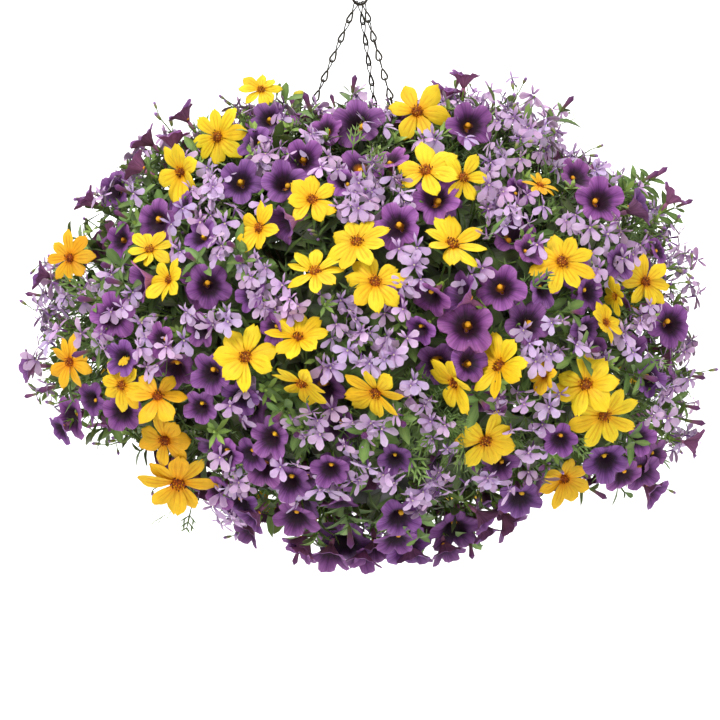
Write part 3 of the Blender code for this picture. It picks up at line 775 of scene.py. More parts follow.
def hook_piece(material):
    piece = Mesh()
    bend = HOOK_INNER_RADIUS + HOOK_WIRE / 2
    centre = -HOOK_INNER_RADIUS
    points = []
    for step in range(25):
        turn = math.radians(-35.0 + 10.0 * step)
        points.append((bend * math.cos(turn), 0.0, centre + bend * math.sin(turn)))
    eye_centre = EYE_INNER_RADIUS - EYE_REST_DEPTH
    eye_radius = EYE_INNER_RADIUS + EYE_WIRE / 2
    neck = eye_centre + eye_radius
    points += [(-0.0065, 0.0, centre - bend - 0.0055), (-0.0015, 0.0, centre - bend - 0.0135)]
    points += [(0.0, 0.0, neck + 0.006), (0.0, 0.0, neck)]
    sweep(piece, smooth(points, False, 4), HOOK_WIRE / 2, 14)
    turns = math.tau * np.arange(40) / 40
    loop = np.stack([eye_radius * np.cos(turns), 0 * turns, eye_centre + eye_radius * np.sin(turns)], 1)
    sweep(piece, loop, EYE_WIRE / 2, 12, closed=True)
    turns, rise = math.tau * np.arange(60) / 14, WRAP_HEIGHT * np.arange(60) / 59
    wraps = np.stack([WRAP_RADIUS * np.cos(turns), WRAP_RADIUS * np.sin(turns), neck + 0.0012 + rise], 1)
    sweep(piece, wraps, WRAP_WIRE / 2, 8)
    piece.build("hook_and_eye", material, "chain_wire", ["hanger_hook"])


def chain_piece(name, material):
    """Links of one wire, each a drop below and a thinner open loop above it, a quarter turn apart."""
    bearing, seat, twists = CHAINS[name]
    sway = seat / EYE_INNER_RADIUS
    top = EYE_INNER_RADIUS * np.array([math.sin(sway), 0.0, -math.cos(sway)])
    top[2] += EYE_INNER_RADIUS - EYE_REST_DEPTH
    lug_top = LUG_CENTRE - BALL_DROP + LUG_RADIUS - LUG_WIRE / 2
    bottom = LUG_BEARING_RADIUS * level_at(bearing) + lug_top * UP
    span = np.linalg.norm(bottom - top)
    along = (bottom - top) / span
    count = round(span / CHAIN_PITCH)
    pitch = span / count
    reach_out = (pitch + CHAIN_WIRE) / 2
    across = unit(np.cross(along, -TOWARDS))
    through = np.cross(along, across)
    ring = LINK + [(0.0, 0.0, -1.0)] + [(-x, -y, z) for x, y, z in LINK[:0:-1]]
    piece = Mesh()
    for i in range(count):
        twist = math.radians(np.interp(i, (0, 7), twists))
        a = math.cos(twist) * across + math.sin(twist) * through
        b = np.cross(along, a)
        middle = top + (i + 0.5) * pitch * along
        path = smooth([middle + x * a + y * b + z * reach_out * along for x, y, z in ring], True, 2)
        down = (path - middle) @ along / reach_out
        sweep(piece, path, CHAIN_WIRE / 2 * np.where(down > 0.0, 1.0, 0.66), 6, closed=True)
    piece.build(name + "_wire", material, "chain_wire", [name])


def bowl_piece(material):
    """A plain moulded bowl with a rolled rim, a foot ring and three wire lugs."""
    piece = Mesh()
    lathe(piece, [(r, z - BALL_DROP) for r, z in BOWL[::-1]], AROUND, [WHITE] * len(BOWL))
    for bearing, _, _ in CHAINS.values():
        out, east = level_at(bearing), level_at(bearing + 90.0)
        centre = LUG_BEARING_RADIUS * out + (LUG_CENTRE - BALL_DROP) * UP
        turns = math.tau * np.arange(24) / 24
        loop = [centre + LUG_RADIUS * (math.cos(u) * east + math.sin(u) * UP) for u in turns]
        sweep(piece, loop, LUG_WIRE / 2, 8, closed=True)
    piece.build("moulded_bowl", material, "basket", ["basket"])


def soil_piece(material):
    """Crumbly potting mix, level under the rim and following the bowl below."""
    r = np.random.default_rng(3)
    rings = [(SOIL_RADIUS * j / SOIL_RINGS, SOIL_TOP, j < SOIL_RINGS) for j in range(1, SOIL_RINGS + 1)]
    rings += [(radius, height, False) for radius, height in SOIL_BELOW]
    points, rows = [(0.0, 0.0, SOIL_TOP - BALL_DROP)], [[0]]
    for radius, height, rough in rings:
        rows.append(range(len(points), len(points) + AROUND))
        for k in range(AROUND):
            t = math.tau * k / AROUND
            bump = r.uniform(-0.0016, 0.0012) if rough else 0.0
            points.append((radius * math.cos(t), radius * math.sin(t), height - BALL_DROP + bump))
    rows.append([len(points)])
    points.append((0.0, 0.0, SOIL_BELOW[-1][1] - BALL_DROP))
    piece = Mesh()
    piece.add(points, skin(rows), WHITE)
    piece.build("loose_potting_mix", material, "potting_mix", ["potting_mix"])


wire = grained("dark_wire", 420.0, 4.0, [(0.35, (34, 31, 27)), (0.70, (70, 64, 54))], 0.15, 0.0002,
               [(0.30, 0.30), (0.75, 0.55)], Metallic=0.85)
plastic = grained("bowl_plastic", 900.0, 3.0, [(0.30, (38, 42, 36)), (0.70, (54, 58, 50))], 0.2, 0.0002,
                  Roughness=0.48)
peat = grained("peat", 260.0, 8.0, [(0.30, (30, 20, 14)), (0.55, (66, 46, 32)), (0.80, (104, 80, 58))],
               0.9, 0.003, Roughness=0.95)
hook_piece(wire)
for chain in CHAINS:
    chain_piece(chain, wire)
bowl_piece(plastic)
soil_piece(peat)

# Where the flowers stand. Each front bloom is (pixel right, pixel down, width in pixels, the way it leans,
# how far it leans from the camera in degrees), and its way is counted round from the right.

BIDENS_FRONT = [
    (261, 90, 40, 85, 34), (218, 137, 60, 160, 30), (182, 172, 58, 200, 42), (417, 112, 60, 90, 12),
    (426, 171, 62, 110, 34), (463, 178, 52, 40, 30), (312, 200, 52, 80, 22), (260, 228, 52, 170, 38),
    (357, 242, 62, 110, 34), (315, 272, 58, 90, 50), (375, 282, 60, 80, 18), (452, 245, 66, 70, 44),
    (562, 262, 64, 60, 18), (70, 258, 50, 170, 28), (150, 250, 46, 110, 40), (170, 280, 44, 170, 46),
    (645, 282, 54, 20, 28), (605, 323, 44, 30, 46), (70, 362, 48, 200, 34), (122, 385, 50, 200, 24),
    (158, 396, 56, 100, 30), (165, 440, 56, 240, 26), (178, 482, 72, 265, 40), (246, 357, 64, 150, 20),
    (298, 338, 58, 80, 48), (302, 382, 58, 255, 58), (376, 392, 60, 240, 44), (456, 382, 62, 215, 58),
    (500, 366, 66, 150, 52), (545, 376, 34, 180, 40), (586, 385, 66, 110, 24), (604, 415, 66, 290, 28),
    (485, 440, 62, 300, 34), (564, 478, 50, 290, 40), (540, 186, 34, 60, 60), (616, 296, 36, 200, 60),
]

# The deeper yellow ones, by their place in the list: older blooms, and some half-hidden ones whose deeper
# gold is painted shade
GOLDEN_FRONT = {13, 18, 20, 21, 22, 29, 33, 34}

CALIBRACHOA_FRONT = [
    (115, 190, 40, 160, 34), (156, 222, 46, 190, 30), (148, 141, 34, 140, 82), (185, 117, 26, 125, 84),
    (358, 122, 50, 90, 22), (470, 125, 46, 60, 24), (436, 197, 50, 80, 30), (396, 226, 50, 150, 24),
    (240, 182, 44, 120, 20), (284, 182, 46, 90, 24), (303, 160, 42, 100, 16), (325, 128, 36, 110, 40),
    (268, 118, 38, 120, 30), (290, 222, 42, 200, 64), (209, 286, 46, 0, 8), (113, 316, 48, 160, 18),
    (148, 281, 44, 190, 74), (140, 168, 34, 150, 96), (600, 200, 46, 60, 22), (578, 176, 40, 50, 50),
    (634, 209, 40, 20, 72), (500, 287, 48, 120, 20), (467, 325, 54, 90, 16), (465, 297, 44, 150, 66),
    (430, 298, 44, 230, 50), (528, 322, 48, 60, 20), (470, 362, 42, 20, 30), (672, 324, 46, 10, 26),
    (590, 292, 38, 0, 40), (34, 366, 34, 180, 78), (70, 418, 44, 200, 50), (122, 358, 36, 180, 30),
    (210, 374, 44, 200, 30), (122, 412, 42, 230, 26), (240, 398, 38, 250, 34), (200, 408, 36, 220, 30),
    (690, 443, 30, 350, 86), (650, 378, 38, 0, 40), (606, 462, 44, 280, 30), (642, 474, 44, 300, 40),
    (520, 500, 46, 280, 49), (345, 545, 54, 250, 42), (296, 520, 46, 260, 49), (290, 482, 42, 240, 30),
    (410, 548, 50, 300, 52), (455, 532, 52, 290, 48), (262, 468, 44, 220, 30), (270, 438, 42, 200, 30),
    (330, 552, 42, 260, 65), (200, 236, 36, 140, 40), (389, 158, 38, 100, 60), (345, 180, 34, 90, 40),
    (254, 142, 38, 140, 40), (330, 470, 38, 260, 30), (400, 520, 46, 290, 40), (240, 505, 38, 240, 55),
    (620, 262, 34, 10, 30), (545, 290, 36, 340, 40), (200, 330, 34, 200, 40), (160, 340, 34, 190, 40),
    (90, 400, 34, 200, 40), (44, 275, 30, 170, 84), (574, 262, 34, 30, 50), (500, 465, 36, 280, 30),
    (560, 440, 36, 280, 30), (250, 295, 34, 160, 40), (272, 330, 34, 200, 50), (640, 440, 36, 320, 40),
    (420, 330, 34, 220, 40), (395, 460, 34, 270, 30), (173, 142, 34, 100, 88), (90, 200, 24, 150, 84),
    (445, 96, 32, 80, 80), (464, 82, 24, 85, 88), (660, 250, 30, 20, 60), (585, 330, 34, 330, 40),
    (530, 250, 32, 40, 40), (671, 199, 24, 50, 84), (218, 492, 38, 230, 44), (255, 515, 36, 225, 70),
    (302, 542, 36, 240, 78), (374, 546, 40, 270, 65), (482, 516, 36, 320, 76), (508, 520, 40, 310, 80),
    (396, 542, 42, 275, 59), (446, 548, 38, 290, 74), (362, 556, 38, 265, 71), (306, 548, 32, 240, 84),
    (412, 550, 42, 270, 76), (625, 478, 40, 300, 50), (656, 458, 36, 330, 60), (250, 455, 36, 220, 40),
    (225, 455, 36, 220, 40), (392, 300, 32, 240, 40), (120, 240, 34, 160, 40), (183, 207, 32, 150, 60),
    (520, 190, 30, 60, 40), (650, 490, 36, 320, 66), (60, 430, 30, 220, 60), (250, 530, 32, 230, 70),
    (484, 530, 34, 300, 82),
]

# Lobelia clusters: pixel right, pixel down, florets, spread in pixels
LOBELIA_FRONT = [
    (345, 330, 12, 26), (372, 352, 12, 26), (398, 345, 8, 20), (330, 372, 6, 16), (396, 404, 6, 18),
    (325, 440, 8, 22), (350, 462, 8, 20), (414, 486, 12, 26), (452, 470, 8, 22), (500, 170, 9, 26),
    (520, 122, 9, 26), (552, 150, 8, 24), (528, 196, 9, 24), (575, 238, 9, 24), (618, 240, 8, 22),
    (640, 335, 7, 20), (560, 342, 9, 24), (600, 362, 6, 18), (530, 440, 9, 24), (500, 488, 7, 20),
    (655, 402, 9, 24), (682, 256, 7, 20), (200, 208, 9, 24), (230, 240, 8, 20), (265, 262, 9, 24),
    (112, 270, 6, 18), (128, 305, 8, 22), (58, 302, 6, 16), (92, 338, 7, 20), (176, 325, 9, 24),
    (214, 330, 9, 24), (150, 352, 8, 20), (290, 484, 8, 22), (500, 215, 8, 24), (480, 205, 7, 20),
    (585, 262, 6, 18), (520, 350, 8, 22), (540, 405, 9, 24), (510, 408, 7, 20), (640, 262, 6, 18),
    (370, 200, 8, 22), (362, 215, 6, 18), (235, 500, 6, 20), (232, 470, 7, 20), (320, 400, 6, 18),
    (360, 425, 8, 22), (545, 470, 7, 20), (470, 270, 5, 16), (330, 300, 6, 16), (170, 240, 6, 18),
    (412, 250, 5, 16), (690, 300, 6, 18), (675, 390, 7, 20), (260, 150, 5, 18), (520, 95, 7, 20),
    (545, 120, 7, 20), (480, 95, 5, 16), (440, 420, 7, 20), (244, 402, 6, 18), (140, 180, 5, 16),
    (205, 180, 5, 18), (290, 300, 6, 18), (620, 320, 5, 16), (85, 290, 6, 18), (415, 395, 6, 18),
    (332, 166, 7, 15), (356, 190, 9, 18), (374, 160, 6, 11), (394, 188, 6, 12), (339, 213, 6, 13),
    (320, 132, 5, 12), (276, 149, 6, 14), (276, 114, 4, 8), (307, 142, 4, 9), (431, 138, 4, 9),
    (410, 206, 4, 9), (355, 95, 3, 5), (253, 286, 5, 12), (270, 312, 6, 14), (298, 306, 6, 13),
    (388, 310, 7, 15), (410, 277, 5, 12), (218, 186, 6, 14), (495, 184, 6, 14), (499, 150, 6, 14),
    (506, 114, 5, 12), (604, 285, 5, 14), (655, 310, 6, 16), (690, 350, 5, 14), (245, 478, 6, 16),
    (225, 510, 6, 14), (236, 522, 4, 10), (425, 490, 7, 18), (396, 478, 6, 14), (330, 490, 5, 14),
]

# Tall sprigs that stand clear of the outline: pixel right, pixel down, kind (leafy, fine or bud)
SPRIGS_FRONT = [
    (674, 208, "leafy"), (660, 234, "fine"), (641, 182, "leafy"), (674, 226, "fine"), (90, 232, "leafy"),
    (62, 218, "fine"), (136, 168, "fine"), (86, 198, "fine"), (300, 100, "bud"), (232, 104, "fine"),
    (455, 90, "leafy"), (520, 90, "fine"), (570, 128, "fine"), (590, 150, "fine"), (650, 180, "leafy"),
    (692, 268, "fine"), (702, 348, "fine"), (700, 372, "fine"), (45, 296, "leafy"), (42, 262, "fine"),
    (60, 385, "leafy"), (214, 520, "fine"), (240, 534, "fine"), (372, 545, "leafy"), (300, 545, "leafy"),
    (470, 540, "leafy"), (660, 486, "fine"), (684, 420, "leafy"), (560, 112, "leafy"), (160, 118, "fine"),
    (352, 95, "leafy"), (330, 108, "fine"), (430, 90, "fine"), (620, 170, "leafy"), (98, 208, "leafy"),
    (110, 445, "fine"), (34, 310, "fine"), (116, 268, "leafy"), (124, 284, "leafy"), (236, 248, "leafy"),
    (244, 262, "leafy"), (92, 350, "leafy"), (130, 220, "leafy"), (570, 312, "leafy"), (578, 330, "leafy"),
    (545, 300, "leafy"), (640, 375, "leafy"), (480, 400, "leafy"), (300, 430, "leafy"), (282, 412, "leafy"),
    (400, 420, "leafy"), (196, 380, "leafy"), (312, 250, "leafy"), (420, 268, "leafy"), (585, 352, "leafy"),
    (96, 300, "leafy"), (222, 452, "leafy"),
]

# Feathery bidens foliage that shows between the flowers: pixel right, pixel down, leaves
FEATHERS_FRONT = [
    (352, 150, 2), (372, 176, 2), (440, 404, 9), (460, 412, 7), (430, 388, 6), (446, 424, 5), (205, 492, 5),
    (190, 502, 4), (222, 442, 3), (415, 440, 5), (120, 345, 3), (560, 420, 3), (520, 305, 3), (300, 425, 4),
    (470, 440, 3), (630, 350, 3), (95, 300, 3),
]

# The sprays behind: rings of patches as in the solids, each of one kind. From and to are degrees down from
# the top, then comes the first patch's bearing.
RINGS = [
    (10.0, 34.0, 80.0, "LCB"), (34.0, 58.0, 0.0, "BCLLBCBLC"), (58.0, 80.0, 0.0, "BLCLCBBLCBCL"),
    (80.0, 102.0, 15.0, "BLBCBLBCLCBC"), (102.0, 126.0, 0.0, "CBLBLCBCL"), (126.0, 154.0, 27.0, "LCCLCB"),
]

# How far each ring's stems stand from the middle of the bowl
FOOT_RADII = (0.020, 0.040, 0.060, 0.078, 0.092, 0.102)

# The share of a cluster's listed florets that is grown
CLUSTER_FULLNESS = 0.72
# A bloom is in front where its outward direction leans more than this towards the camera
FRONT_EDGE = 0.30
# A patch's own kind takes this share of it, and the others mix into the rest
OWN_SHARE = 0.72
BLOOM_TRIES = 1500
# The least distances: between bidens, between calibrachoas, between the two, and between florets
BIDENS_GAP = 0.046
CALIBRACHOA_GAP = 0.031
MIXED_GAP = 0.026
FLORET_GAP = 0.0105


def patch_kind(point):
    """Which kind grows in the patch under a point."""
    d = unit(point - CENTRE)
    theta = math.degrees(math.acos(min(1.0, max(-1.0, d[2]))))
    bearing = math.degrees(math.atan2(d[0], d[1])) % 360.0
    for low, high, first, letters in RINGS:
        if low <= theta < high:
            width = 360.0 / len(letters)
            return letters[int(((bearing - first + width / 2) % 360.0) / width) % len(letters)]
    return "C" if theta >= 154.0 else "L"


def ball_directions(count):
    """Even directions all round, in a fixed shuffled order."""
    k = np.arange(count) + 0.5
    z = 1.0 - 2.0 * k / count
    turn = math.pi * (1.0 + math.sqrt(5.0)) * k
    flat = np.sqrt(1.0 - z * z)
    d = np.stack([flat * np.cos(turn), flat * np.sin(turn), z], 1)
    d = unit(d + rng.normal(0.0, 0.35 / math.sqrt(count), d.shape))
    return d[rng.permutation(count)]


def far_enough(point, others, distance):
    return len(others) == 0 or np.min(np.linalg.norm(np.asarray(others) - point, axis=1)) >= distance


class Flowers:
    """Places, facings and spans of one kind's blooms. The near ones are those of the front lists."""

    def __init__(self):
        self.places, self.facings, self.spans, self.golden, self.near = [], [], [], [], []

    def put(self, place, facing, span, golden=False, near=False):
        self.places.append(np.asarray(place, float))
        self.facings.append(unit(facing))
        self.spans.append(span)
        self.golden.append(golden)
        self.near.append(near)


bidens, calibrachoa, lobelia = Flowers(), Flowers(), Flowers()


def span_of(pixels, place):
    """Half the real width of a bloom at this place that is so many pixels wide."""
    return pixels * PIXEL * (place[1] - EYE[1]) / -EYE[1] / 2


def leaning(way, lean):
    """A facing that leans from the camera by some degrees, towards a way counted round from the right."""
    tilt, turn = math.radians(lean), math.radians(way)
    return math.cos(tilt) * TOWARDS + math.sin(tilt) * np.array([math.cos(turn), 0.0, math.sin(turn)])


front = from_pixels([b[:2] for b in BIDENS_FRONT], 0.985, 0.080)
for i, (_, _, width, *turned) in enumerate(BIDENS_FRONT):
    bidens.put(front[i], leaning(*turned), span_of(width, front[i]), i in GOLDEN_FRONT, True)

front = from_pixels([c[:2] for c in CALIBRACHOA_FRONT], 0.975, 0.060)
for i, (_, _, width, *turned) in enumerate(CALIBRACHOA_FRONT):
    # This draw isn't used, but the ones after it depend on it
    rng.normal(0.0, 1.0, 3)
    calibrachoa.put(front[i], leaning(*turned), span_of(max(width, 31) * 1.08, front[i]), False, True)

faces = np.array([b[:2] for b in BIDENS_FRONT], float)
face_radii = 0.40 * np.array([b[2] for b in BIDENS_FRONT])
lobelia_groups = []
for px, py, count, spread in LOBELIA_FRONT:
    count = max(3, round(count * CLUSTER_FULLNESS))
    turn, size = rng.uniform(0.0, math.tau, count), spread * np.sqrt(rng.uniform(0.0, 1.0, count))
    spots = np.stack([px + size * np.cos(turn), py + size * np.sin(turn)], 1)
    spots = spots[(np.linalg.norm(spots[:, None] - faces[None], axis=2) > face_radii).all(axis=1)]
    if len(spots) == 0:
        continue
    places = from_pixels(spots, rng.uniform(0.95, 1.02, len(spots)))
    lobelia_groups.append(places)
    for place, n in zip(places, normals(places)):
        facing = 0.55 * n + 0.35 * TOWARDS + rng.normal(0.0, 0.48, 3)
        lobelia.put(place, facing, rng.uniform(0.0086, 0.0122))

for d in ball_directions(BLOOM_TRIES):
    surface = CENTRE + d * reach(d)
    n = normals(surface[None])[0]
    kind = patch_kind(surface)
    draw = rng.random()
    if draw > OWN_SHARE:
        kind = "BCL"[int((draw - OWN_SHARE) / (1.0 - OWN_SHARE) * 2.999)]
    in_front = -n[1] > FRONT_EDGE
    if kind == "L" and n[2] < -0.5 and n[1] < 0.35:
        kind = "C"
    if kind == "B" and n[1] > 0.25:
        place = CENTRE + d * reach(d) * rng.uniform(0.95, 0.985)
        if far_enough(place, bidens.places, BIDENS_GAP) and far_enough(place, calibrachoa.places, MIXED_GAP):
            facing = n + 0.15 * UP + rng.normal(0.0, 0.26, 3)
            bidens.put(place, facing, rng.uniform(0.0215, 0.0250), rng.random() < 0.25)
    elif kind == "C":
        if in_front and rng.random() < 0.4:
            continue
        place = CENTRE + d * reach(d) * (rng.uniform(0.86, 0.90) if in_front else rng.uniform(0.91, 0.965))
        clear = far_enough(place, calibrachoa.places, CALIBRACHOA_GAP)
        if clear and far_enough(place, bidens.places, MIXED_GAP):
            calibrachoa.put(place, n + 0.1 * UP + rng.normal(0.0, 0.24, 3), rng.uniform(0.0165, 0.0192))
    elif kind == "L":
        if in_front and (rng.random() < 0.3 or not far_enough(surface, calibrachoa.places, 0.024)):
            continue
        count = rng.integers(1, 4) if in_front else rng.integers(2, 6)
        turn = rng.normal(0.0, 0.017, (count, 3))
        way = unit(surface + turn - (turn @ n)[:, None] * n - CENTRE)
        places = CENTRE + way * (reach(way) * rng.uniform(0.95, 1.015, count))[:, None]
        kept = [p for p in places
                if far_enough(p, bidens.places, 0.022) and far_enough(p, lobelia.places, FLORET_GAP)]
        if kept:
            lobelia_groups.append(np.array(kept))
            for p in kept:
                lobelia.put(p, n + rng.normal(0.0, 0.42, 3), rng.uniform(0.0092, 0.0124))
print(*(len(kind.places) for kind in (bidens, calibrachoa, lobelia)), "bidens, calibrachoas, lobelia florets")
every_bloom = np.array(bidens.places + calibrachoa.places)
every_facing = np.array(bidens.facings + calibrachoa.facings)
every_span = np.array(bidens.spans + calibrachoa.spans)


def place_blooms(piece, flowers, shapes, span, tint, upright, chosen=slice(None), cupped=0, edge_on=0.80):
    """Stamps each chosen bloom, sized to its span, with its lower side down by about the upright angle.

    The last shapes, as many as cupped says, are kept for blooms that turn their edge to the camera.
    """
    places, facings = np.array(flowers.places)[chosen], np.array(flowers.facings)[chosen]
    sizes, tint = np.array(flowers.spans)[chosen] / span, tint[chosen]
    matrices = frames(facings, np.cross(np.broadcast_to(UP, facings.shape), facings))
    matrices = spin(matrices, rng.normal(0.0, upright, len(places)))
    plain_ones = len(shapes) - cupped
    turned = (np.abs(facings[:, 1]) < edge_on) & (cupped > 0)
    edges = rng.integers(plain_ones - (cupped == 0), len(shapes), len(places))
    which = np.where(turned, edges, rng.integers(0, plain_ones, len(places)))
    for s, shape in enumerate(shapes):
        here = which == s
        piece.stamp(shape, matrices[here] * sizes[here][:, None, None], places[here], tint[here])


def tints(flowers, low, high, hue):
    """Brightness and slight hue changes from bloom to bloom."""
    count = len(flowers.places)
    return rng.uniform(low, high, (count, 1)) * (1.0 + rng.uniform(-1.0, 1.0, (count, 3)) * np.array(hue))


# Petals and cup of each bidens shape, and the flare of each calibrachoa shape, near and far
CUPS = [(8, 0.10), (7, 0.16), (6, 0.12), (8, 0.05), (8, 0.18), (8, 0.24), (7, 0.42), (8, 0.30), (7, 0.62)]
FLARES = [0.0, 0.25, 0.5, 0.1, 0.8, 0.35, 2.6, 3.4]
FAR_FLARES = [0.0, 0.3, 0.7, 0.15]
bidens_shapes = [bidens_shape(40 + k, n, cup) for k, (n, cup) in enumerate(CUPS)]
calibrachoa_near = [calibrachoa_shape(60 + k, flare, 6) for k, flare in enumerate(FLARES)]
calibrachoa_far = [calibrachoa_shape(70 + k, flare, 4) for k, flare in enumerate(FAR_FLARES)]
lobelia_shapes = [lobelia_shape(80 + k) for k in range(8)]
blooms = {kind: Mesh() for kind in ("bidens", "calibrachoa", "lobelia")}

tint = tints(bidens, 0.93, 1.02, (0.02, 0.05, 0.02))
# Deeper gold: the colour of older blooms, and painted shade on some half-hidden front ones
tint[bidens.golden] *= (1.0, 0.80, 0.9)
place_blooms(blooms["bidens"], bidens, bidens_shapes, BIDENS_SPAN, tint, 3.0, cupped=4)
tint = tints(calibrachoa, 0.82, 1.20, (0.11, 0.05, 0.06))
# Blooms low on the ball are darkened: painted shade under the ball
tint *= np.where(np.array(calibrachoa.places)[:, 2:] < CENTRE[2] - 0.10, 0.86, 1.0)
near = np.array(calibrachoa.near)
place_blooms(blooms["calibrachoa"], calibrachoa, calibrachoa_near, CALIBRACHOA_SPAN, tint, 0.9, near, 2, 0.45)
place_blooms(blooms["calibrachoa"], calibrachoa, calibrachoa_far, CALIBRACHOA_SPAN, tint, 0.9, ~near)
tint = tints(lobelia, 0.72, 1.04, (0.08, 0.05, 0.04))
place_blooms(blooms["lobelia"], lobelia, lobelia_shapes, LOBELIA_SPAN, tint, 0.7)

petals = {
    "bidens": petal("bidens_petal", 0.55, 0.0, 0.08, 16.0, 0.84, 0.5),
    "calibrachoa": petal("calibrachoa_petal", 0.62, 0.0, 0.04, 14.0, 0.55, 0.6),
    "lobelia": petal("lobelia_petal", 0.60, 0.0, 0.10, 12.0, 0.84, 0.4),
}
for kind, piece in blooms.items():
    piece.build(kind + "_blooms", petals[kind], kind, [n for n in NODES if n.startswith(kind)])

# Main stems, from the potting mix out to the middle of each patch, and the stalks that branch from them

CAVITY_SHARE = 0.62
STEM_GREEN = srgb(96, 122, 50)
STEM_BROWN = srgb(110, 96, 58)
# How a stem that hangs over the rim goes round the bowl: height above the ball's centre, and radius
OVER_RIM = [(-0.004, 0.128), (-0.045, 0.131), (-0.085, 0.122), (-0.115, 0.104)]


def stem_path(theta, bearing, foot):
    t, level = math.radians(theta), level_at(bearing)
    d = math.sin(t) * level + math.cos(t) * UP
    low = foot * level + (SOIL_TOP - BALL_DROP - 0.006) * UP
    end = CENTRE + d * reach(d) * CAVITY_SHARE
    points = [low, low + 0.024 * UP]
    if theta > 85.0:
        points += [CENTRE + out * level + height * UP for height, out in OVER_RIM
                   if height > end[2] + BALL_DROP + 0.01]
    path = smooth(points + [end], False, 6)
    return path[np.linspace(0, len(path) - 1, 14).round().astype(int)]


main_paths = []
for (low, high, first, letters), foot in zip(RINGS, FOOT_RADII):
    for k in range(len(letters)):
        main_paths.append(stem_path((low + high) / 2, first + 360.0 * k / len(letters), foot))
main_paths = np.array(main_paths)
stem_ends = main_paths[:, -1]
stem_leave = unit(main_paths[:, -1] - main_paths[:, -2])
stems = Mesh()
tube_run(stems, main_paths, 0.0016, 6, STEM_BROWN, 0.7)


def stalks(flowers, depth, steps, sides):
    """Curved stalks from the nearest main stem to the back of each bloom, whose depth is given."""
    ends, facings = np.array(flowers.places), np.array(flowers.facings)
    near = np.argmin(np.linalg.norm(ends[:, None] - stem_ends[None], axis=2), axis=1)
    backs = ends - facings * depth
    starts = stem_ends[near] + rng.normal(0.0, 0.0015, ends.shape)
    gap = np.linalg.norm(backs - starts, axis=1, keepdims=True)
    paths = bent(starts, backs, stem_leave[near] * gap, facings * gap * 0.9, steps)
    tube_run(stems, paths, 0.0009, sides, STEM_GREEN, 0.75)


stalks(bidens, 0.0052, 8, 5)
stalks(calibrachoa, 0.0195, 7, 4)
group_hubs = [CENTRE + (group.mean(axis=0) - CENTRE) * 0.90 for group in lobelia_groups]
for hub in group_hubs:
    near = np.argmin(np.linalg.norm(stem_ends - hub, axis=1))
    gap = np.linalg.norm(hub - stem_ends[near])
    leave, arrive = stem_leave[near][None] * gap, unit(hub - CENTRE)[None] * gap * 0.6
    tube_run(stems, bent(stem_ends[near][None], hub[None], leave, arrive, 6), 0.0008, 4, STEM_GREEN, 0.8)
facings = np.array(lobelia.facings)
backs = np.array(lobelia.places) - facings * 0.0100
hubs = np.repeat(group_hubs, [len(group) for group in lobelia_groups], axis=0)
gaps = np.linalg.norm(backs - hubs, axis=1, keepdims=True)
paths = bent(hubs, backs, unit(hubs - CENTRE) * gaps, facings * gaps * 0.8, 4)
tube_run(stems, paths, 0.00045, 3, STEM_GREEN, 0.9)

# Leaves

ROSETTES = 560
SHOOTS = 230


def leaf_family(seed, droops, length, width, form, base=LEAF):
    return [leaf_shape(seed + k, length, width, droop, form, base) for k, droop in enumerate(droops)]


# The inner leaves are painted shade: grey-brown, so the gaps between the blooms read as shadow
inner_shapes = leaf_family(90, (0.10, 0.30, 0.20), 0.036, 0.0150, BROAD, PAINTED_SHADE_GREY)
oval_shapes = leaf_family(100, (0.10, 0.35, 0.22), 0.027, 0.0098, OVAL)
oval_shapes += leaf_family(110, (0.30, 0.12, 0.45, 0.02), 0.025, 0.0100, SPOON)
thin_shapes = leaf_family(120, (0.15, 0.35, 0.05), 0.021, 0.0042, SLIM)
cut_shapes = [cut_leaf_shape(140 + k, 0.044) for k in range(5)]
rosette_shapes = [rosette_shape(150 + k, 5 + k % 3, 0.0125, 0.0036) for k in range(5)]
inner_leaves, oval_leaves, thin_leaves, cut_leaves = Mesh(), Mesh(), Mesh(), Mesh()


def stamp_leaves(piece, shapes, roots, ways, upper, scale, tint):
    """Leaves with their roots at the given points, running along ways, upper faces towards upper."""
    z = unit(upper - (upper * ways).sum(-1, keepdims=True) * ways)
    matrices = np.stack([ways, np.cross(z, ways), z], axis=-1)
    which = rng.integers(0, len(shapes), len(roots))
    for s, shape in enumerate(shapes):
        pick = which == s
        piece.stamp(shape, matrices[pick] * scale[pick][:, None, None], roots[pick], tint[pick])


def clear_of_faces(points, margin=0.9):
    """Which points don't stand in front of a bidens or calibrachoa face."""
    clear = np.ones(len(points), bool)
    for place, facing, span in zip(every_bloom, every_facing, every_span):
        away = points - place
        ahead = away @ facing
        aside = np.linalg.norm(away - ahead[:, None] * facing, axis=1)
        clear &= ~((ahead > -0.004) & (ahead < 0.045) & (aside < span * margin))
    return clear


def leaf_tints(count, low, high, warm=0.05):
    """Greens of many depths, some a little yellower."""
    level = rng.uniform(low, high, (count, 1))
    return level * (1.0 + np.array([1.0, 0.25, 0.2]) * rng.uniform(-warm, warm * 3, (count, 1)))


def leaves_over(piece, shapes, count, share, lean, size, tone):
    """Leaves all over the ball. Pairs give the least and greatest share of its reach, lean, size and tone."""
    d = ball_directions(count)
    roots = CENTRE + d * (reach(d) * rng.uniform(*share, count))[:, None]
    out = normals(CENTRE + d * reach(d)[:, None])
    side = unit(np.cross(out, rng.normal(0.0, 1.0, out.shape)))
    amount = rng.uniform(*lean, (count, 1))
    ways = unit(np.cos(amount) * out + np.sin(amount) * side)
    upper = out + 0.35 * UP + rng.normal(0.0, 0.25, out.shape)
    scale, tint = rng.uniform(*size, count), leaf_tints(count, *tone)
    keep = clear_of_faces(roots + 0.016 * ways) & clear_of_faces(roots + 0.030 * ways)
    keep &= (d[:, 2] > -0.50) | (rng.random(count) < 0.35)
    stamp_leaves(piece, shapes, roots[keep], ways[keep], upper[keep], scale[keep], tint[keep])
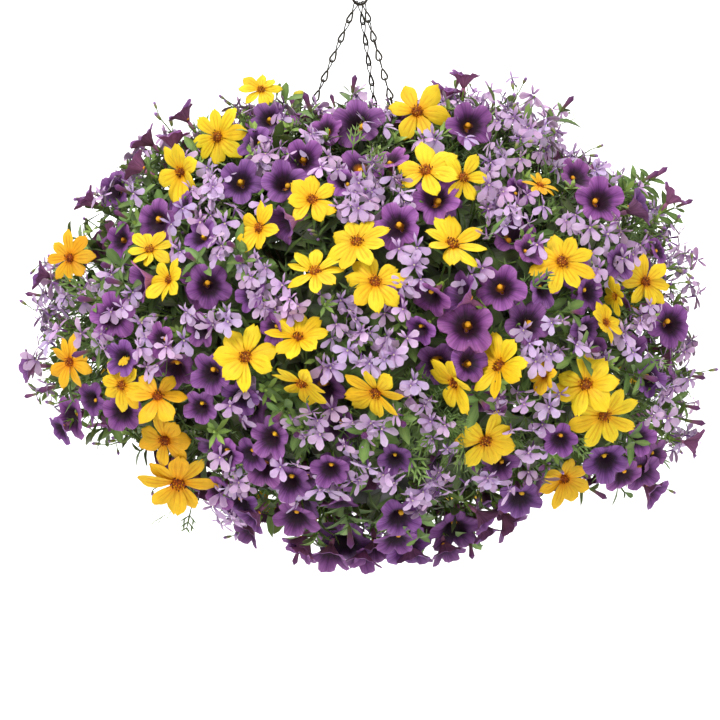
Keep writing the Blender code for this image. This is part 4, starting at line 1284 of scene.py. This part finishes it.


# The inner leaves' low tones deepen their painted shade
leaves_over(inner_leaves, inner_shapes, 2200, (0.60, 0.78), (0.9, 1.5), (0.9, 1.3), (0.48, 0.92))
leaves_over(oval_leaves, oval_shapes, 2000, (0.74, 0.89), (0.4, 1.35), (0.70, 1.05), (0.32, 1.05))
leaves_over(thin_leaves, thin_shapes, 2500, (0.76, 0.94), (0.3, 1.3), (0.7, 1.2), (0.45, 1.15))
leaves_over(cut_leaves, cut_shapes, 420, (0.74, 0.87), (0.3, 1.2), (0.7, 1.05), (0.55, 1.10))

for px, py, count in FEATHERS_FRONT:
    spots = np.array([px, py]) + rng.normal(0.0, 7.0, (count, 2))
    roots = from_pixels(spots, rng.uniform(0.88, 0.95, count))
    out = normals(roots)
    ways = unit(0.55 * out + 0.25 * TOWARDS + 0.25 * UP + rng.normal(0.0, 0.55, out.shape))
    keep = clear_of_faces(roots + 0.020 * ways, 0.7)
    stamp_leaves(cut_leaves, cut_shapes, roots[keep], ways[keep], (out + 0.3 * TOWARDS)[keep],
                 rng.uniform(0.55, 0.85, count)[keep], leaf_tints(count, 0.8, 1.2)[keep])

d = ball_directions(ROSETTES)
places = CENTRE + d * (reach(d) * rng.uniform(0.88, 0.99, len(d)))[:, None]
out = unit(normals(places) + 0.25 * UP + rng.normal(0.0, 0.45, places.shape))
matrices = frames(out, np.cross(np.broadcast_to(UP, out.shape), out)) * rng.uniform(0.7, 1.25, (len(d), 1, 1))
shown = clear_of_faces(places + 0.006 * out) & (d[:, 2] >= -0.5)
which = np.where(shown, rng.integers(0, len(rosette_shapes), len(d)), -1)
tint = leaf_tints(len(d), 0.75, 1.25)
for k, shape in enumerate(rosette_shapes):
    thin_leaves.stamp(shape, matrices[which == k], places[which == k], tint[which == k])

# Shoots, each with leaves in pairs up it

LEAFY_PAIRS = (0.45, 0.62, 0.78, 0.90, 1.0)
FINE_LEAVES = (0.30, 0.42, 0.55, 0.66, 0.78)
buds = Mesh()
bud_shapes = {kind: bud_shape(kind) for kind in BUDS}


def shoot(tip, root, leafy):
    """A shoot from root to tip. Returns its path and its direction."""
    axis = unit(tip - root)
    length = np.linalg.norm(tip - root)
    bend = unit(np.cross(axis, rng.normal(0.0, 1.0, 3)))
    leave, arrive = (axis + 0.3 * bend) * length, (axis - 0.2 * bend) * length
    path = bent(root[None], tip[None], leave[None], arrive[None], 8)
    tube_run(stems, path, 0.0011 if leafy else 0.0007, 4, STEM_GREEN, 0.7)
    path = path[0]
    side = unit(np.cross(axis, rng.normal(0.0, 1.0, 3)))
    other = np.cross(axis, side)
    upper, size = axis + 0.3 * UP, 1.0
    if leafy and tip[0] > 0.20 and tip[2] > -0.29:
        # The upper right sprigs hold their leaves broadside to the camera
        side = unit(np.cross(axis, [0.0, 1.0, 0.2]))
        other = unit(side - 0.5 * axis)
        upper, size = np.array([0.5, -1.0, 0.5]), 0.80
    climb, sizes = ((0.35, 0.9), (0.60, 0.95)) if leafy else ((0.5, 1.2), (0.45, 0.75))
    spots, ways, scale = [], [], []
    for j, share in enumerate(LEAFY_PAIRS if leafy else FINE_LEAVES):
        across = side if j % 2 else other
        if not leafy:
            across = math.cos(9 * share) * side + math.sin(9 * share) * other
        for sign in (-1, 1) if leafy else (1,):
            spots.append(path[int(share * 7)])
            ways.append(unit(sign * across + axis * rng.uniform(*climb)))
            scale.append(size * rng.uniform(*sizes))
            scale[-1] *= 0.65 if leafy and share > 0.95 else 1.0
    piece, shapes = (oval_leaves, oval_shapes) if leafy else (thin_leaves, thin_shapes)
    spots, ways, scale = np.array(spots), np.array(ways), np.array(scale)
    tint = leaf_tints(len(ways), *((0.65, 1.10) if leafy else (0.8, 1.2)))
    stamp_leaves(piece, shapes, spots, ways, upper + 0 * ways, scale, tint)
    return path, axis


def bud(kind, place, facing, size):
    matrix = frames(unit(facing)[None], np.array([[0.3, 0.9, 0.1]])) * size
    buds.stamp(bud_shapes[kind], matrix, np.asarray(place)[None], np.full((1, 3), rng.uniform(0.8, 1.1)))


tips = from_pixels([s[:2] for s in SPRIGS_FRONT], 0.985, 0.045)
for tip, (_, _, kind) in zip(tips, SPRIGS_FRONT):
    if not clear_of_faces(tip[None], 0.8)[0]:
        continue
    d = unit(tip - CENTRE)
    root = CENTRE + d * min(reach(d) * 0.80, np.linalg.norm(tip - CENTRE) - 0.045) + rng.normal(0.0, 0.006, 3)
    path, axis = shoot(tip, root, kind == "leafy")
    if kind == "bud":
        bud("bidens", tip + 0.003 * axis, axis, 1.1)
    elif kind == "fine":
        for share in (0.5, 0.65, 0.8, 0.92, 1.0):
            here = path[int(share * 7)]
            way = unit(axis + rng.normal(0.0, 0.7, 3))
            step = way * 0.008
            stalk = bent(here[None], (here + step)[None], step[None], step[None], 3)
            tube_run(stems, stalk, 0.00045, 3, STEM_GREEN, 1.0)
            bud("lobelia", here + step + way * 0.003, way, rng.uniform(0.9, 1.3))
    else:
        bud("calibrachoa", tip + 0.009 * axis, axis, rng.uniform(0.7, 1.0))

for d in ball_directions(SHOOTS):
    r = reach(d)
    tip = CENTRE + d * r * rng.uniform(0.93, 1.03)
    in_front = -normals((CENTRE + d * r)[None])[0][1] > FRONT_EDGE
    if not clear_of_faces(tip[None])[0] or (in_front and rng.random() < 0.5):
        continue
    leafy = rng.random() < 0.5
    path, axis = shoot(tip, CENTRE + d * r * 0.78 + rng.normal(0.0, 0.008, 3), leafy)
    if not leafy:
        for share in (0.7, 0.85, 1.0):
            way = unit(axis + rng.normal(0.0, 0.7, 3))
            bud("lobelia", path[int(share * 7)] + way * 0.004, way, rng.uniform(0.8, 1.2))
    elif rng.random() < 0.4:
        bud("calibrachoa", tip + 0.009 * axis, axis, rng.uniform(0.6, 1.0))

green = petal("leaf_green", 0.42, 0.05, 0.05, 9.0, 0.72, 0.40)
foliage = {
    "inner_leaves": inner_leaves, "oval_leaves": oval_leaves, "thin_leaves": thin_leaves,
    "cut_leaves": cut_leaves, "stems_and_stalks": stems, "buds": buds,
}
for name, piece in foliage.items():
    piece.build(name, green, "foliage")

# Floor, backdrop, light and camera

FLOOR = -1.25
WALL = 5.6
WALL_TOP = 5.0
CURVE = 1.2
HALF_WIDTH = 7.0
MIDDLE = (0.0, 0.0, -0.33)


def backdrop():
    """A pale floor that curves up behind into a pale wall."""
    profile = [(-6.0, FLOOR), (WALL - CURVE, FLOOR)]
    for k in range(1, 13):
        t = math.radians(90.0 * k / 12)
        profile.append((WALL + CURVE * (math.sin(t) - 1.0), FLOOR + CURVE * (1.0 - math.cos(t))))
    profile.append((WALL, WALL_TOP))
    points = [(x, y, z) for y, z in profile for x in (-HALF_WIDTH, HALF_WIDTH)]
    faces = [(2 * k, 2 * k + 1, 2 * k + 3, 2 * k + 2) for k in range(len(profile) - 1)]
    mesh = bpy.data.meshes.new("ground")
    mesh.from_pydata(points, [], faces)
    mesh.polygons.foreach_set("use_smooth", [True] * len(faces))
    mesh.materials.append(new_material("pale_ground", Roughness=0.9, Base_Color=(0.93, 0.93, 0.93, 1.0))[0])
    show("ground", mesh)


def area_light(name, place, aim, size, power):
    data = bpy.data.lights.new(name, "AREA")
    data.shape = "SQUARE"
    data.size = size
    data.energy = power
    obj = show(name, data)
    obj.location = place
    back = np.array(place) - aim
    obj.rotation_euler = Matrix(frames(back, np.cross(UP, back)).tolist()).to_euler()


backdrop()
area_light("key", (-1.1, -2.2, 1.3), MIDDLE, 1.1, 60.0)
area_light("fill", (1.7, -2.0, 0.2), MIDDLE, 1.6, 20.0)
area_light("top", (0.0, 0.3, 1.9), MIDDLE, 1.6, 30.0)
for name, side in (("wall_left", -1), ("wall_right", 1)):
    area_light(name, (side * 2.8, WALL - 2.0, 0.6), (side * 0.5, WALL, -0.3), 2.0, 110.0)

world = bpy.data.worlds.new("soft_white")
world.use_nodes = True
world.node_tree.nodes["Background"].inputs["Color"].default_value = (1.0, 1.0, 1.0, 1.0)
world.node_tree.nodes["Background"].inputs["Strength"].default_value = 0.63
bpy.context.scene.world = world
bpy.context.scene.view_settings.view_transform = "Standard"

camera = bpy.data.cameras.new("camera")
camera.sensor_width = SENSOR
camera.lens = SENSOR * -EYE[1] / (PIXEL * FRAME_PIXELS)
camera.dof.use_dof = False
view = show("camera", camera)
view.location = EYE
view.rotation_euler = (math.pi / 2, 0.0, 0.0)
bpy.context.scene.camera = view
